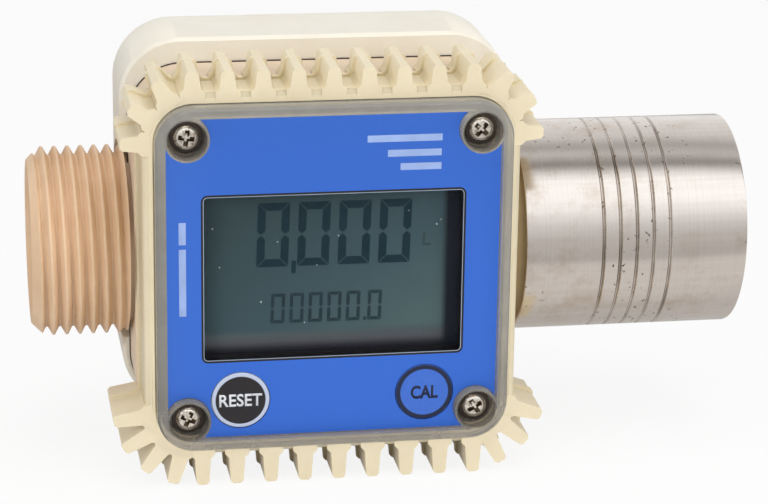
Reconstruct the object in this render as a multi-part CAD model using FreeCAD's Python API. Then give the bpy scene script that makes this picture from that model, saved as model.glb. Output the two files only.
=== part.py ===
import FreeCAD, Part
import math
import os
from FreeCAD import Vector

# Inline turbine flow meter with a ribbed display head, a rear battery cover and a steel outlet socket.
# Millimetres. Modelling axes: X along the pipe towards the outlet, -Y towards the reader, +Z up.
# The model is built about the pipe axis at the middle of the display head, and is moved at export
# so that the origin is on the pipe axis at the middle of the inlet thread.

# ---- Pipe threads, ISO 228 G1 ----
THREAD_MAJOR_R = 33.249 / 2
THREAD_DEPTH = 1.479
THREAD_LENGTH = 12.8         # full thread on the outlet stub

# ---- Turbine body ----
STUB_CHAMFER = 2.2           # lead chamfer at each stub's mouth
NECK_RELIEF = 0.55           # how far the tube and its necks stay below the thread's root
INLET_RELIEF = 0.8           # plain neck between the flange and the inlet thread
OUTLET_RELIEF = 0.6          # plain neck inside the socket, before its thread
TUBE_WALL = 2.6
ROTOR_BORE_STEP = 0.7        # how much narrower the bore is round the rotor
ROTOR_BORE_HALF = 12.0       # half the length of the narrower bore
MOUTH_CHAMFER = 1.0
FLANGE_THICKNESS = 12.8
FLANGE_COVERING = 0.2        # of the flange's material in front of the tube
FLANGE_SIDE_STEP = 0.7       # how far it stands out beyond the display head's sides
FLANGE_TOP_STEP = 0.3        # how far it stays below the head's top
FLANGE_BOTTOM_STEP = 2.1     # how far it stays above the head's bottom
FLANGE_CORNER_R = 9.5

# ---- Display head (front housing) ----
HEAD_HALF = 32.3             # half the width and height of its wall
HEAD_CORNER_R = 8.5
HEAD_DEPTH = 9.2             # from the flange to its front
HEAD_WALL = 4.6
HEAD_FLOOR = 1.6             # floor between the electronics and the flange
CAVITY_CORNER_R = 3.0
WINDOW_SEAT_DEPTH = 1.0
POST_R = 3.9

# ---- Ribs round the display head ----
RIB_COUNT = 9                # straight ribs along the top, and as many along the bottom
UPPER_RIB_HEIGHT = 3.7
LOWER_RIB_HEIGHT = 5.5
LOWER_RIB_SHIFT = 1.4        # sideways place of the lower row
RIB_ROOT_WIDTH = 2.8
RIB_TIP_WIDTH = 2.2
RIB_ROOT_FLARE = 0.7
FRONT_ROUND = 1.4            # rounding of the head's front edge between the ribs
RIB_TIP_BEVEL = 0.45
UPPER_CORNER_ANGLES = (0.0, 30.0, 60.0)         # degrees from the side, about each corner's centre
LOWER_RIGHT_ANGLES = (16.0, 39.0, 62.0)
LOWER_LEFT_ANGLES = (6.5, 29.0, 51.5, 74.0)
RIB_OVERHANG = 4.9           # how far the ribs run on past the flange's front
RIB_FLANGE_GAP = 0.1         # between the ribs and the flange's edge
LIP_HEIGHT = 0.45            # thin lip round the back of each groove
LIP_THICKNESS = 0.9

# ---- Window, label, screws ----
WINDOW_INSET = 1.9           # from the head's sides
WINDOW_PROUD = 3.0           # how far it stands out of the display head
WINDOW_EDGE_BEVEL = 0.4
LABEL_INSET = 1.9            # from the window's sides
LABEL_CORNER_R = 1.5
LABEL_RECESS = 2.0
LABEL_THICKNESS = 0.25
LABEL_GAP = 0.1
LABEL_NOTCH_R = 3.9          # round each screw
FRONT_SCREW_INSET = 5.4      # from the window's sides
FRONT_SCREW_REACH = 5.5      # length of screw in the turbine body
COUNTERBORE_R = 3.3
COUNTERBORE_DEPTH = 3.0
SCREW_HEAD_R = 2.2
SCREW_HEAD_HEIGHT = 1.5
SCREW_HEAD_BEVEL = 0.5
SCREW_R = 1.35
SCREW_CLEARANCE = 0.3        # radial, where a screw passes through
TAPPED_CLEARANCE = 0.05      # radial, where a screw is driven home
RECESS_WIDTH = 0.75
RECESS_LENGTH = 2.7
RECESS_DEPTH = 0.9
GASKET_WIDTH = 1.4
GASKET_DEPTH = 0.9
FLANGE_GASKET_MARGIN = 4.0   # beyond the screws
FLANGE_GASKET_CORNER_R = 6.0
FLANGE_GASKET_WIDTH = 1.2
SEAT_CLEARANCE = 0.15

# ---- Display and electronics ----
LCD_SIDE_INSET = 6.2         # from the label's sides to the display's view
LCD_END_INSET = 13.9         # from the label's top and bottom
LCD_VIEW_CORNER_R = 0.8
LCD_MARGIN = 0.7             # glass beyond the view on each side
LCD_THICKNESS = 2.0
LCD_CLEARANCE = 0.1
LCD_FRAME_WALL = 0.6
LCD_FRAME_LIP = 0.6
LCD_FRAME_GAP = 0.2          # between the frame and the window plate
ZEBRA_WIDTH = 1.6
ZEBRA_INSET = 3.0            # from the glass's sides
BOARD_THICKNESS = 1.6
BOARD_GAP = 0.8              # standoff height under the board
BOARD_CLEARANCE = 0.5
BOARD_SCREW_INSET_X = 3.0    # from the window's screws
BOARD_SCREW_INSET_Z = 6.1
BOARD_SCREW_R = 0.8
BOARD_SCREW_REACH = 1.8
BOARD_SCREW_HEAD_R = 1.5
BOARD_SCREW_HEAD = 0.9
STANDOFF_R = 2.0
CHIP_SIZE = 7.0
CHIP_HEIGHT = 1.2
SENSOR_LENGTH = 3.0
SENSOR_WIDTH = 1.6
SENSOR_HEIGHT = 0.7
CRYSTAL_R = 1.0
CRYSTAL_LENGTH = 6.0
CRYSTAL_RISE = 5.7           # above the glass's top

# ---- Buttons ----
BUTTON_SIDE_INSET = 12.5     # from the label's sides
BUTTON_END_INSET = 6.6       # from the label's bottom
BUTTON_R = 5.0
BUTTON_CLEARANCE = 0.15
BUTTON_PROUD = 0.1
BUTTON_EDGE_BEVEL = 0.15
BUTTON_FLANGE = 0.45         # how much wider the hidden flange is
BUTTON_FLANGE_THICKNESS = 0.7
BUTTON_FLANGE_GAP = 0.1      # between the flange and the window plate
BUTTON_STEM_R = 1.4
BUTTON_TRAVEL = 0.5
SWITCH_SIZE = 5.0
SWITCH_HEIGHT = 1.5
PLUNGER_OUT = 0.6            # how far the plunger stands out of the switch
PLUNGER_IN = 0.8             # how deep it sits in the switch at rest
PLUNGER_CLEARANCE = 0.1
PLUNGER_FLOOR = 0.1          # left under the plunger when it is pressed

# ---- Rear cover and batteries ----
COVER_SIDE_STEP = 1.4        # how far it stands out beyond the flange's sides
COVER_TOP_STEP = 4.4         # above the flange's top
COVER_BOTTOM_STEP = 0.8      # below the flange's bottom
COVER_CORNER_R = 10.5
COVER_BACK = 22.0
COVER_BACK_ROUND = 8.5
COVER_INNER_BEVEL = 4.5      # inside, behind the rounded back edge
COVER_FRONT_BEVEL = 0.6
COVER_WALL = 2.4
COVER_SEAT = 0.9             # width of its upper seat on the flange
NOTCH_CLEARANCE = 0.2
REAR_SCREW_SIDE_INSET = 6.2  # from the cover's sides
REAR_SCREW_INSET = 8.4       # from the cover's top and bottom
REAR_POST_R = 3.4
REAR_HEAD_POST_R = 3.9
REAR_HEAD_CLEARANCE = 0.3
REAR_SCREW_SEAT = 8.0        # where the heads sit, measured along Y
REAR_SEAT_WEB = 1.6
REAR_SCREW_REACH = 4.5       # length of screw in the turbine body
BATTERY_NUB_R = 1.9
BATTERY_NUB = 1.0
BATTERY_EDGE_BEVEL = 0.5
TRAY_WALL = 0.9
TRAY_HEIGHT = 6.0
TRAY_CLEARANCE = 0.15        # between a cell and its tray
TRAY_POST_GAP = 0.7          # between a tray's ends and the screw posts
TRAY_TUBE_GAP = 0.9          # between the lower tray and the tube
LOWER_TRAY_GAP = 0.5         # between the lower tray and the cover
UPPER_TRAY_GAP = 0.2         # between the upper tray and the cover's seat
CONTACT_THICKNESS = 0.4
CONTACT_WIDTH = 5.0
SPRING_BULGE = 1.3

# ---- Rotor, bearings and straighteners ----
SHAFT_R = 1.0
SHAFT_OVERLAP = 3.5          # length of shaft inside each bush
SHAFT_CLEARANCE = 0.04
SHAFT_GRIP = 0.02
HUB_R = 3.6
ROTOR_END_PLAY = 0.3
BLADE_COUNT = 6
BLADE_HALF_LENGTH = 6.5
BLADE_THICKNESS = 1.1
BLADE_TIP_CLEARANCE = 0.5
BLADE_TWIST = 70.0           # degrees from one end of a blade to the other
MAGNET_R = 1.3
MAGNET_LENGTH = 1.7
MAGNET_COVERING = 0.3        # how deep its outer end is sunk in the hub
BUSH_R = 2.2
BUSH_LENGTH = 4.0
STRAIGHTENER_LENGTH = 10.0
STRAIGHTENER_RING = 1.1
STRAIGHTENER_VANES = 5
VANE_THICKNESS = 1.0
VANE_SETBACK = 0.8
NOSE_LENGTH = 5.0
NOSE_STEPS = 4               # cones along the rounded nose
NOSE_END_ANGLE = 80.0        # degrees round the nose's oval to its flat tip
INSERT_CLEARANCE = 0.05
RING_THICKNESS = 1.0
RING_GROOVE = 0.8
RING_WIDTH = 2.0
RING_GAP_WIDTH = 7.0

# ---- Outlet socket ----
SEAL_THICKNESS = 1.9         # rubber ring between the flange and the socket
SEAL_INSET = 1.0             # how much smaller it is than the socket
SEAL_CLEARANCE = 0.1         # between that ring and the neck
SOCKET_LENGTH = 39.9
SOCKET_WALL = 2.08
SOCKET_CHAMFER = 0.5
SOCKET_MOUTH_CHAMFER = 1.4
SOCKET_THREAD_CLEARANCE = 0.1
SOCKET_THREAD_RUNOUT = 1.0   # past the stub's end, before the bore narrows to the outlet thread
SOCKET_GROOVES = 5
SOCKET_GROOVE_PITCH = 3.0
SOCKET_GROOVE_FIRST = 13.9   # from the socket's inner end to the first groove
SOCKET_GROOVE_WIDTH = 0.6
SOCKET_GROOVE_DEPTH = 0.35

# ---- Places that follow from the sizes above ----
THREAD_MINOR_R = THREAD_MAJOR_R - THREAD_DEPTH
NECK_R = THREAD_MINOR_R - NECK_RELIEF
BORE_R = NECK_R - TUBE_WALL
ROTOR_BORE_R = BORE_R - ROTOR_BORE_STEP
FLANGE_HALF_X = HEAD_HALF + FLANGE_SIDE_STEP
FLANGE_TOP = HEAD_HALF - FLANGE_TOP_STEP
FLANGE_BOTTOM = FLANGE_BOTTOM_STEP - HEAD_HALF
FLANGE_FRONT = -NECK_R - FLANGE_COVERING
FLANGE_BACK = FLANGE_FRONT + FLANGE_THICKNESS
HEAD_FRONT = FLANGE_FRONT - HEAD_DEPTH
SOCKET_START = FLANGE_HALF_X + SEAL_THICKNESS
SOCKET_END = SOCKET_START + SOCKET_LENGTH
SOCKET_BORE_R = THREAD_MAJOR_R + SOCKET_THREAD_CLEARANCE
SOCKET_R = SOCKET_BORE_R + SOCKET_WALL
SEAL_R = SOCKET_R - SEAL_INSET
INLET_THREAD_START = FLANGE_HALF_X + INLET_RELIEF
OUTLET_THREAD_START = SOCKET_START + OUTLET_RELIEF
THREAD_END = OUTLET_THREAD_START + THREAD_LENGTH
STUB_END = THREAD_END + STUB_CHAMFER
INLET_THREAD_MIDDLE = -(THREAD_END + INLET_THREAD_START) / 2
WINDOW_HALF = HEAD_HALF - WINDOW_INSET
WINDOW_CORNER_R = HEAD_CORNER_R - WINDOW_INSET
WINDOW_FRONT = HEAD_FRONT - WINDOW_PROUD
WINDOW_SEAT = HEAD_FRONT + WINDOW_SEAT_DEPTH
LABEL_HALF = WINDOW_HALF - LABEL_INSET
LABEL_SEAT = WINDOW_FRONT + LABEL_RECESS
LABEL_FRONT = LABEL_SEAT - LABEL_THICKNESS
FRONT_SCREW_OFFSET = WINDOW_HALF - FRONT_SCREW_INSET
FRONT_SCREW_ZS = (-FRONT_SCREW_OFFSET, FRONT_SCREW_OFFSET)
FRONT_HEAD_SEAT = WINDOW_FRONT + COUNTERBORE_DEPTH
FLANGE_GASKET_HALF = FRONT_SCREW_OFFSET + FLANGE_GASKET_MARGIN
FLOOR_FRONT = FLANGE_FRONT - HEAD_FLOOR
RIB_CORNER = HEAD_HALF - HEAD_CORNER_R
RIB_PITCH = 2 * RIB_CORNER / (RIB_COUNT - 1)
RIB_BACK = FLANGE_FRONT + RIB_OVERHANG
CAVITY_HALF = HEAD_HALF - HEAD_WALL
BOARD_BACK = FLOOR_FRONT - BOARD_GAP
BOARD_FRONT = BOARD_BACK - BOARD_THICKNESS
BOARD_SCREW_X = FRONT_SCREW_OFFSET - BOARD_SCREW_INSET_X
BOARD_SCREW_Z = FRONT_SCREW_OFFSET - BOARD_SCREW_INSET_Z
LCD_FRAME_FRONT = WINDOW_SEAT + LCD_FRAME_GAP
LCD_FRONT = LCD_FRAME_FRONT + LCD_FRAME_LIP
LCD_BACK = LCD_FRONT + LCD_THICKNESS
LCD_VIEW_HALF_X = LABEL_HALF - LCD_SIDE_INSET
LCD_VIEW_HALF_Z = LABEL_HALF - LCD_END_INSET
LCD_HALF_X = LCD_VIEW_HALF_X + LCD_MARGIN
LCD_HALF_Z = LCD_VIEW_HALF_Z + LCD_MARGIN
CRYSTAL_Z = LCD_HALF_Z + CRYSTAL_RISE
BUTTON_X = LABEL_HALF - BUTTON_SIDE_INSET
BUTTON_Z = BUTTON_END_INSET - LABEL_HALF
SWITCH_FRONT = BOARD_FRONT - SWITCH_HEIGHT
PLUNGER_FRONT = SWITCH_FRONT - PLUNGER_OUT
COVER_HALF_X = FLANGE_HALF_X + COVER_SIDE_STEP
COVER_TOP = FLANGE_TOP + COVER_TOP_STEP
COVER_BOTTOM = FLANGE_BOTTOM - COVER_BOTTOM_STEP
COVER_SEAT_Z = FLANGE_TOP - COVER_SEAT
REAR_SCREW_X = COVER_HALF_X - REAR_SCREW_SIDE_INSET
REAR_SCREW_ZS = (COVER_BOTTOM + REAR_SCREW_INSET, COVER_TOP - REAR_SCREW_INSET)
LOWER_TRAY_TOP = -NECK_R - TRAY_TUBE_GAP
LOWER_TRAY_BOTTOM = COVER_BOTTOM + COVER_WALL + LOWER_TRAY_GAP
TRAY_HALF_Z = (LOWER_TRAY_TOP - LOWER_TRAY_BOTTOM) / 2
LOWER_BATTERY_Z = (LOWER_TRAY_TOP + LOWER_TRAY_BOTTOM) / 2
UPPER_BATTERY_Z = COVER_SEAT_Z - UPPER_TRAY_GAP - TRAY_HALF_Z
BATTERY_R = TRAY_HALF_Z - TRAY_WALL - TRAY_CLEARANCE
BATTERY_Y = FLANGE_BACK + TRAY_WALL + TRAY_CLEARANCE + BATTERY_R
TRAY_HALF_INSIDE = REAR_SCREW_X - REAR_POST_R - TRAY_POST_GAP - TRAY_WALL
BATTERY_LENGTH = 2 * (TRAY_HALF_INSIDE - CONTACT_THICKNESS) - SPRING_BULGE - BATTERY_NUB
STRAIGHTENER_OUTER = ROTOR_BORE_HALF + STRAIGHTENER_LENGTH
MAGNET_OUTER = HUB_R - MAGNET_COVERING
MAGNET_X = (BLADE_HALF_LENGTH + ROTOR_BORE_HALF - ROTOR_END_PLAY) / 2


# ---- Building blocks ----
def box(x0, x1, y0, y1, z0, z1):
    return Part.makeBox(x1 - x0, y1 - y0, z1 - z0, Vector(x0, y0, z0))


def rod_x(radius, x0, x1, y=0.0, z=0.0):
    return Part.makeCylinder(radius, x1 - x0, Vector(x0, y, z), Vector(1, 0, 0))


def rod_y(radius, x, z, y0, y1):
    return Part.makeCylinder(radius, y1 - y0, Vector(x, y0, z), Vector(0, 1, 0))


def rounded_outline(x0, x1, z0, z1, radius, y):
    """Closed wire of a rectangle in the XZ plane with rounded corners."""
    inset = radius * (1 - math.cos(math.pi / 4))
    arcs = [
        ((x0 + radius, z0), (x0 + inset, z0 + inset), (x0, z0 + radius)),
        ((x0, z1 - radius), (x0 + inset, z1 - inset), (x0 + radius, z1)),
        ((x1 - radius, z1), (x1 - inset, z1 - inset), (x1, z1 - radius)),
        ((x1, z0 + radius), (x1 - inset, z0 + inset), (x1 - radius, z0)),
    ]
    edges = []
    for index, corner in enumerate(arcs):
        start, middle, end = [Vector(x, y, z) for x, z in corner]
        next_x, next_z = arcs[(index + 1) % len(arcs)][0]
        edges.append(Part.Arc(start, middle, end).toShape())
        edges.append(Part.LineSegment(end, Vector(next_x, y, next_z)).toShape())
    return Part.Wire(edges)


def rounded_block(x0, x1, z0, z1, radius, y0, y1):
    return Part.Face(rounded_outline(x0, x1, z0, z1, radius, y0)).extrude(Vector(0, y1 - y0, 0))


def square_block(half, radius, y0, y1):
    return rounded_block(-half, half, -half, half, radius, y0, y1)


def turned(profile):
    """Solid of revolution about the pipe axis from (x, radius) points."""
    points = [Vector(x, 0, r) for x, r in profile]
    face = Part.Face(Part.makePolygon(points + [points[0]]))
    return face.revolve(Vector(0, 0, 0), Vector(1, 0, 0), 360)


def edges_at_y(shape, y):
    def flat(edge):
        bounds = edge.BoundBox
        return abs(bounds.YMin - y) < 1e-4 and abs(bounds.YMax - y) < 1e-4
    return [edge for edge in shape.Edges if flat(edge)]


def four_places(x_offset, z_values):
    return [(side * x_offset, z) for side in (-1, 1) for z in z_values]


def mirrored_x(shape):
    return shape.mirror(Vector(0, 0, 0), Vector(1, 0, 0))


def group(shapes):
    return Part.makeCompound(shapes)


# ---- Turbine body: tube, threaded stubs and flange in one moulding ----
def flow_bore():
    """What the fluid fills: bore, narrower rotor bore, chamfered mouths and ring grooves."""
    groove_end = STRAIGHTENER_OUTER + RING_THICKNESS + INSERT_CLEARANCE
    bore = turned([
        (0, 0),
        (0, ROTOR_BORE_R),
        (ROTOR_BORE_HALF, ROTOR_BORE_R),
        (ROTOR_BORE_HALF, BORE_R),
        (STRAIGHTENER_OUTER, BORE_R),
        (STRAIGHTENER_OUTER, BORE_R + RING_GROOVE),
        (groove_end, BORE_R + RING_GROOVE),
        (groove_end, BORE_R),
        (STUB_END - MOUTH_CHAMFER, BORE_R),
        (STUB_END, BORE_R + MOUTH_CHAMFER),
        (STUB_END, 0),
    ])
    return bore.fuse(mirrored_x(bore))


def flange(extra, y0, y1):
    return rounded_block(-FLANGE_HALF_X - extra, FLANGE_HALF_X + extra,
                         FLANGE_BOTTOM - extra, FLANGE_TOP + extra, FLANGE_CORNER_R + extra, y0, y1)


def square_gasket(half, corner_r, width, y0):
    """Flat rubber frame, one gasket depth thick."""
    ring = square_block(half, corner_r, y0, y0 + GASKET_DEPTH)
    return ring.cut(square_block(half - width, corner_r - width, y0, y0 + GASKET_DEPTH))


def flange_gasket():
    return square_gasket(FLANGE_GASKET_HALF, FLANGE_GASKET_CORNER_R, FLANGE_GASKET_WIDTH, FLANGE_FRONT)


def threaded_tube(thread_start):
    """Half of the tube along +X, with its stub at the thread's outer size."""
    return turned([
        (0, 0),
        (0, NECK_R),
        (thread_start, NECK_R),
        (thread_start, THREAD_MAJOR_R),
        (THREAD_END, THREAD_MAJOR_R),
        (STUB_END, THREAD_MAJOR_R - STUB_CHAMFER),
        (STUB_END, 0),
    ])


def turbine_body():
    tubes = [threaded_tube(OUTLET_THREAD_START), mirrored_x(threaded_tube(INLET_THREAD_START))]
    body = flange(0.0, FLANGE_FRONT, FLANGE_BACK).multiFuse(tubes)
    tapped_r = SCREW_R + TAPPED_CLEARANCE
    front_end = FLANGE_FRONT + FRONT_SCREW_REACH + SCREW_CLEARANCE
    rear_end = FLANGE_BACK - REAR_SCREW_REACH - SCREW_CLEARANCE
    holes = [rod_y(tapped_r, x, z, FLANGE_FRONT, front_end)
             for x, z in four_places(FRONT_SCREW_OFFSET, FRONT_SCREW_ZS)]
    holes += [rod_y(tapped_r, x, z, rear_end, FLANGE_BACK)
              for x, z in four_places(REAR_SCREW_X, REAR_SCREW_ZS)]
    return body.cut([flow_bore(), flange_gasket()] + holes).removeSplitter()


# ---- Display head with its ribs ----
def rib(height, extra, y0, y1):
    """One upright rib: flared root, tapering sides and a bevelled tip."""
    floor = HEAD_HALF + extra
    top = HEAD_HALF + height
    root = RIB_ROOT_WIDTH / 2 + extra
    tip = RIB_TIP_WIDTH / 2 + extra
    right_side = [
        (root + RIB_ROOT_FLARE, floor - FRONT_ROUND),
        (root + RIB_ROOT_FLARE, floor),
        (root, floor + RIB_ROOT_FLARE),
        (tip, top - RIB_TIP_BEVEL),
        (tip - RIB_TIP_BEVEL, top),
    ]
    left_side = [(-x, z) for x, z in reversed(right_side)]
    points = [Vector(x, y0, z) for x, z in right_side + left_side]
    return Part.Face(Part.makePolygon(points + [points[0]])).extrude(Vector(0, y1 - y0, 0))


def rib_row(height, shift, left_angles, right_angles, extra, y0, y1):
    """Ribs along the top, turning round both corners; the ribs of a lower row are mirrored down."""
    model = rib(height, extra, y0, y1)
    ribs = []
    for index in range(RIB_COUNT):
        straight = model.copy()
        straight.translate(Vector((index - (RIB_COUNT - 1) / 2) * RIB_PITCH + shift, 0, 0))
        ribs.append(straight)
    for side, angles in ((-1, left_angles), (1, right_angles)):
        for angle in angles:
            turning = model.copy()
            turning.translate(Vector(side * RIB_CORNER, 0, 0))
            turning.rotate(Vector(side * RIB_CORNER, 0, RIB_CORNER), Vector(0, 1, 0), side * (90 - angle))
            ribs.append(turning)
    return ribs


def rib_rows(extra, y0, y1):
    """The ribs above and below the head and round its corners; extra thickens them all round."""
    upper = rib_row(UPPER_RIB_HEIGHT, 0.0, UPPER_CORNER_ANGLES, UPPER_CORNER_ANGLES, extra, y0, y1)
    lower = rib_row(LOWER_RIB_HEIGHT, LOWER_RIB_SHIFT, LOWER_LEFT_ANGLES, LOWER_RIGHT_ANGLES, extra, y0, y1)
    lower = [shape.mirror(Vector(0, 0, 0), Vector(0, 0, 1)) for shape in lower]
    return upper + lower


def window_gasket():
    """Rubber frame under the window's edge, outside the screws."""
    return square_gasket(WINDOW_HALF - GASKET_WIDTH / 2, WINDOW_CORNER_R - GASKET_WIDTH / 2,
                         GASKET_WIDTH, WINDOW_SEAT)


def head_cavity():
    cavity = square_block(CAVITY_HALF, CAVITY_CORNER_R, WINDOW_SEAT, FLOOR_FRONT)
    solid_corners = []
    for x, z in four_places(FRONT_SCREW_OFFSET, FRONT_SCREW_ZS):
        far_x = math.copysign(CAVITY_HALF, x)
        far_z = math.copysign(CAVITY_HALF, z)
        solid_corners.append(rod_y(POST_R, x, z, WINDOW_SEAT, FLOOR_FRONT))
        solid_corners.append(box(min(x, far_x), max(x, far_x), WINDOW_SEAT, FLOOR_FRONT,
                                 min(z, far_z), max(z, far_z)))
    return cavity.cut(solid_corners)


def front_housing():
    lip_front = FLANGE_FRONT - LIP_THICKNESS
    window_pocket = square_block(WINDOW_HALF + SEAT_CLEARANCE, WINDOW_CORNER_R + SEAT_CLEARANCE,
                                 HEAD_FRONT, WINDOW_SEAT)
    standoffs = []
    holes = [window_pocket, window_gasket(), head_cavity(),
             flange(RIB_FLANGE_GAP, FLANGE_FRONT, RIB_BACK),
             square_block(HEAD_HALF, HEAD_CORNER_R, FLANGE_FRONT, RIB_BACK)]
    for x, z in four_places(FRONT_SCREW_OFFSET, FRONT_SCREW_ZS):
        holes.append(rod_y(SCREW_R + SCREW_CLEARANCE, x, z, WINDOW_SEAT, FLANGE_FRONT))
    pilot_end = BOARD_BACK + BOARD_SCREW_REACH + TAPPED_CLEARANCE
    pilots = []
    for x, z in four_places(BOARD_SCREW_X, (-BOARD_SCREW_Z, BOARD_SCREW_Z)):
        standoffs.append(rod_y(STANDOFF_R, x, z, BOARD_BACK, FLOOR_FRONT))
        pilots.append(rod_y(BOARD_SCREW_R + TAPPED_CLEARANCE, x, z, BOARD_BACK, pilot_end))
    block = square_block(HEAD_HALF, HEAD_CORNER_R, HEAD_FRONT, RIB_BACK)
    block = block.makeFillet(FRONT_ROUND, edges_at_y(block, HEAD_FRONT))
    housing = block.multiFuse(rib_rows(0.0, HEAD_FRONT, RIB_BACK))
    lip = square_block(HEAD_HALF + LIP_HEIGHT, HEAD_CORNER_R + LIP_HEIGHT, lip_front, FLANGE_FRONT)
    lip = lip.multiFuse(rib_rows(LIP_HEIGHT, lip_front, FLANGE_FRONT))
    housing = housing.fuse(lip)
    housing = housing.cut(holes).multiFuse(standoffs)
    return housing.cut(pilots).removeSplitter()


# ---- Window, label and their screws ----
def label_outline(extra, y0, y1):
    """Square label cut away round each screw and beyond it; extra widens it all round."""
    label = square_block(LABEL_HALF + extra, LABEL_CORNER_R, y0, y1)
    notches = []
    for x, z in four_places(FRONT_SCREW_OFFSET, FRONT_SCREW_ZS):
        near_x = x + math.copysign(extra, x)
        near_z = z + math.copysign(extra, z)
        far_x = math.copysign(WINDOW_HALF, x)
        far_z = math.copysign(WINDOW_HALF, z)
        notches.append(rod_y(LABEL_NOTCH_R - extra, x, z, y0, y1))
        notches.append(box(min(near_x, far_x), max(near_x, far_x), y0, y1,
                           min(near_z, far_z), max(near_z, far_z)))
    return label.cut(notches)


def window_cover():
    cover = square_block(WINDOW_HALF, WINDOW_CORNER_R, WINDOW_FRONT, WINDOW_SEAT)
    cover = cover.makeChamfer(WINDOW_EDGE_BEVEL, edges_at_y(cover, WINDOW_FRONT))
    holes = [label_outline(LABEL_GAP, WINDOW_FRONT, LABEL_SEAT)]
    for x, z in four_places(FRONT_SCREW_OFFSET, FRONT_SCREW_ZS):
        holes.append(rod_y(COUNTERBORE_R, x, z, WINDOW_FRONT, FRONT_HEAD_SEAT))
        holes.append(rod_y(SCREW_R + SCREW_CLEARANCE, x, z, FRONT_HEAD_SEAT, WINDOW_SEAT))
    for x in (-BUTTON_X, BUTTON_X):
        holes.append(rod_y(BUTTON_R + BUTTON_CLEARANCE, x, BUTTON_Z, LABEL_SEAT, WINDOW_SEAT))
    return cover.cut(holes).removeSplitter()


def face_label():
    label = label_outline(0.0, LABEL_FRONT, LABEL_SEAT)
    openings = [rounded_block(-LCD_VIEW_HALF_X, LCD_VIEW_HALF_X, -LCD_VIEW_HALF_Z, LCD_VIEW_HALF_Z,
                              LCD_VIEW_CORNER_R, LABEL_FRONT, LABEL_SEAT)]
    for x in (-BUTTON_X, BUTTON_X):
        openings.append(rod_y(BUTTON_R + BUTTON_CLEARANCE, x, BUTTON_Z, LABEL_FRONT, LABEL_SEAT))
    return label.cut(openings)


def pan_screw(shank_length):
    """Cross-recessed pan-head screw along +Y, with its head resting on y = 0."""
    head = rod_y(SCREW_HEAD_R, 0, 0, -SCREW_HEAD_HEIGHT, 0)
    head = head.makeChamfer(SCREW_HEAD_BEVEL, edges_at_y(head, -SCREW_HEAD_HEIGHT))
    shank = rod_y(SCREW_R, 0, 0, 0, shank_length)
    half_length = RECESS_LENGTH / 2
    half_width = RECESS_WIDTH / 2
    floor = RECESS_DEPTH - SCREW_HEAD_HEIGHT
    slots = [box(-half_length, half_length, -SCREW_HEAD_HEIGHT, floor, -half_width, half_width),
             box(-half_width, half_width, -SCREW_HEAD_HEIGHT, floor, -half_length, half_length)]
    return head.fuse(shank).cut(slots).removeSplitter()


def window_screws():
    length = FLANGE_FRONT + FRONT_SCREW_REACH - FRONT_HEAD_SEAT
    screws = []
    for x, z in four_places(FRONT_SCREW_OFFSET, FRONT_SCREW_ZS):
        screw = pan_screw(length)
        screw.translate(Vector(x, FRONT_HEAD_SEAT, z))
        screws.append(screw)
    return group(screws)


# ---- Display and electronics ----
def lcd_panel():
    return box(-LCD_HALF_X, LCD_HALF_X, LCD_FRONT, LCD_BACK, -LCD_HALF_Z, LCD_HALF_Z)


def lcd_frame():
    pocket_x = LCD_HALF_X + LCD_CLEARANCE
    pocket_z = LCD_HALF_Z + LCD_CLEARANCE
    outer_x = pocket_x + LCD_FRAME_WALL
    outer_z = pocket_z + LCD_FRAME_WALL
    frame = rounded_block(-outer_x, outer_x, -outer_z, outer_z, LCD_VIEW_CORNER_R,
                          LCD_FRAME_FRONT, BOARD_FRONT)
    pocket = box(-pocket_x, pocket_x, LCD_FRONT, BOARD_FRONT, -pocket_z, pocket_z)
    view = rounded_block(-LCD_VIEW_HALF_X, LCD_VIEW_HALF_X, -LCD_VIEW_HALF_Z, LCD_VIEW_HALF_Z,
                         LCD_VIEW_CORNER_R, LCD_FRAME_FRONT, LCD_FRONT)
    return frame.cut([pocket, view])


def zebra_strips():
    half_length = LCD_HALF_X - ZEBRA_INSET
    upper = box(-half_length, half_length, LCD_BACK, BOARD_FRONT, LCD_HALF_Z - ZEBRA_WIDTH, LCD_HALF_Z)
    return group([upper, upper.mirror(Vector(0, 0, 0), Vector(0, 0, 1))])


def circuit_board():
    half = CAVITY_HALF - BOARD_CLEARANCE
    notch = FRONT_SCREW_OFFSET - POST_R - BOARD_CLEARANCE
    board = square_block(half, BOARD_CLEARANCE, BOARD_FRONT, BOARD_BACK)
    holes = []
    for side_x in (-1, 1):
        for side_z in (-1, 1):
            holes.append(box(min(side_x * notch, side_x * half), max(side_x * notch, side_x * half),
                             BOARD_FRONT, BOARD_BACK,
                             min(side_z * notch, side_z * half), max(side_z * notch, side_z * half)))
    for x, z in four_places(BOARD_SCREW_X, (-BOARD_SCREW_Z, BOARD_SCREW_Z)):
        holes.append(rod_y(BOARD_SCREW_R + SCREW_CLEARANCE / 2, x, z, BOARD_FRONT, BOARD_BACK))
    return board.cut(holes)


def board_screws():
    screws = []
    for x, z in four_places(BOARD_SCREW_X, (-BOARD_SCREW_Z, BOARD_SCREW_Z)):
        head = rod_y(BOARD_SCREW_HEAD_R, x, z, BOARD_FRONT - BOARD_SCREW_HEAD, BOARD_FRONT)
        shank = rod_y(BOARD_SCREW_R, x, z, BOARD_FRONT, BOARD_BACK + BOARD_SCREW_REACH)
        screws.append(head.fuse(shank).removeSplitter())
    return group(screws)


def controller_chip():
    half = CHIP_SIZE / 2
    return box(-half, half, BOARD_FRONT - CHIP_HEIGHT, BOARD_FRONT, BUTTON_Z - half, BUTTON_Z + half)


def timing_crystal():
    return rod_x(CRYSTAL_R, -CRYSTAL_LENGTH / 2, CRYSTAL_LENGTH / 2, BOARD_FRONT - CRYSTAL_R, CRYSTAL_Z)


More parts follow.
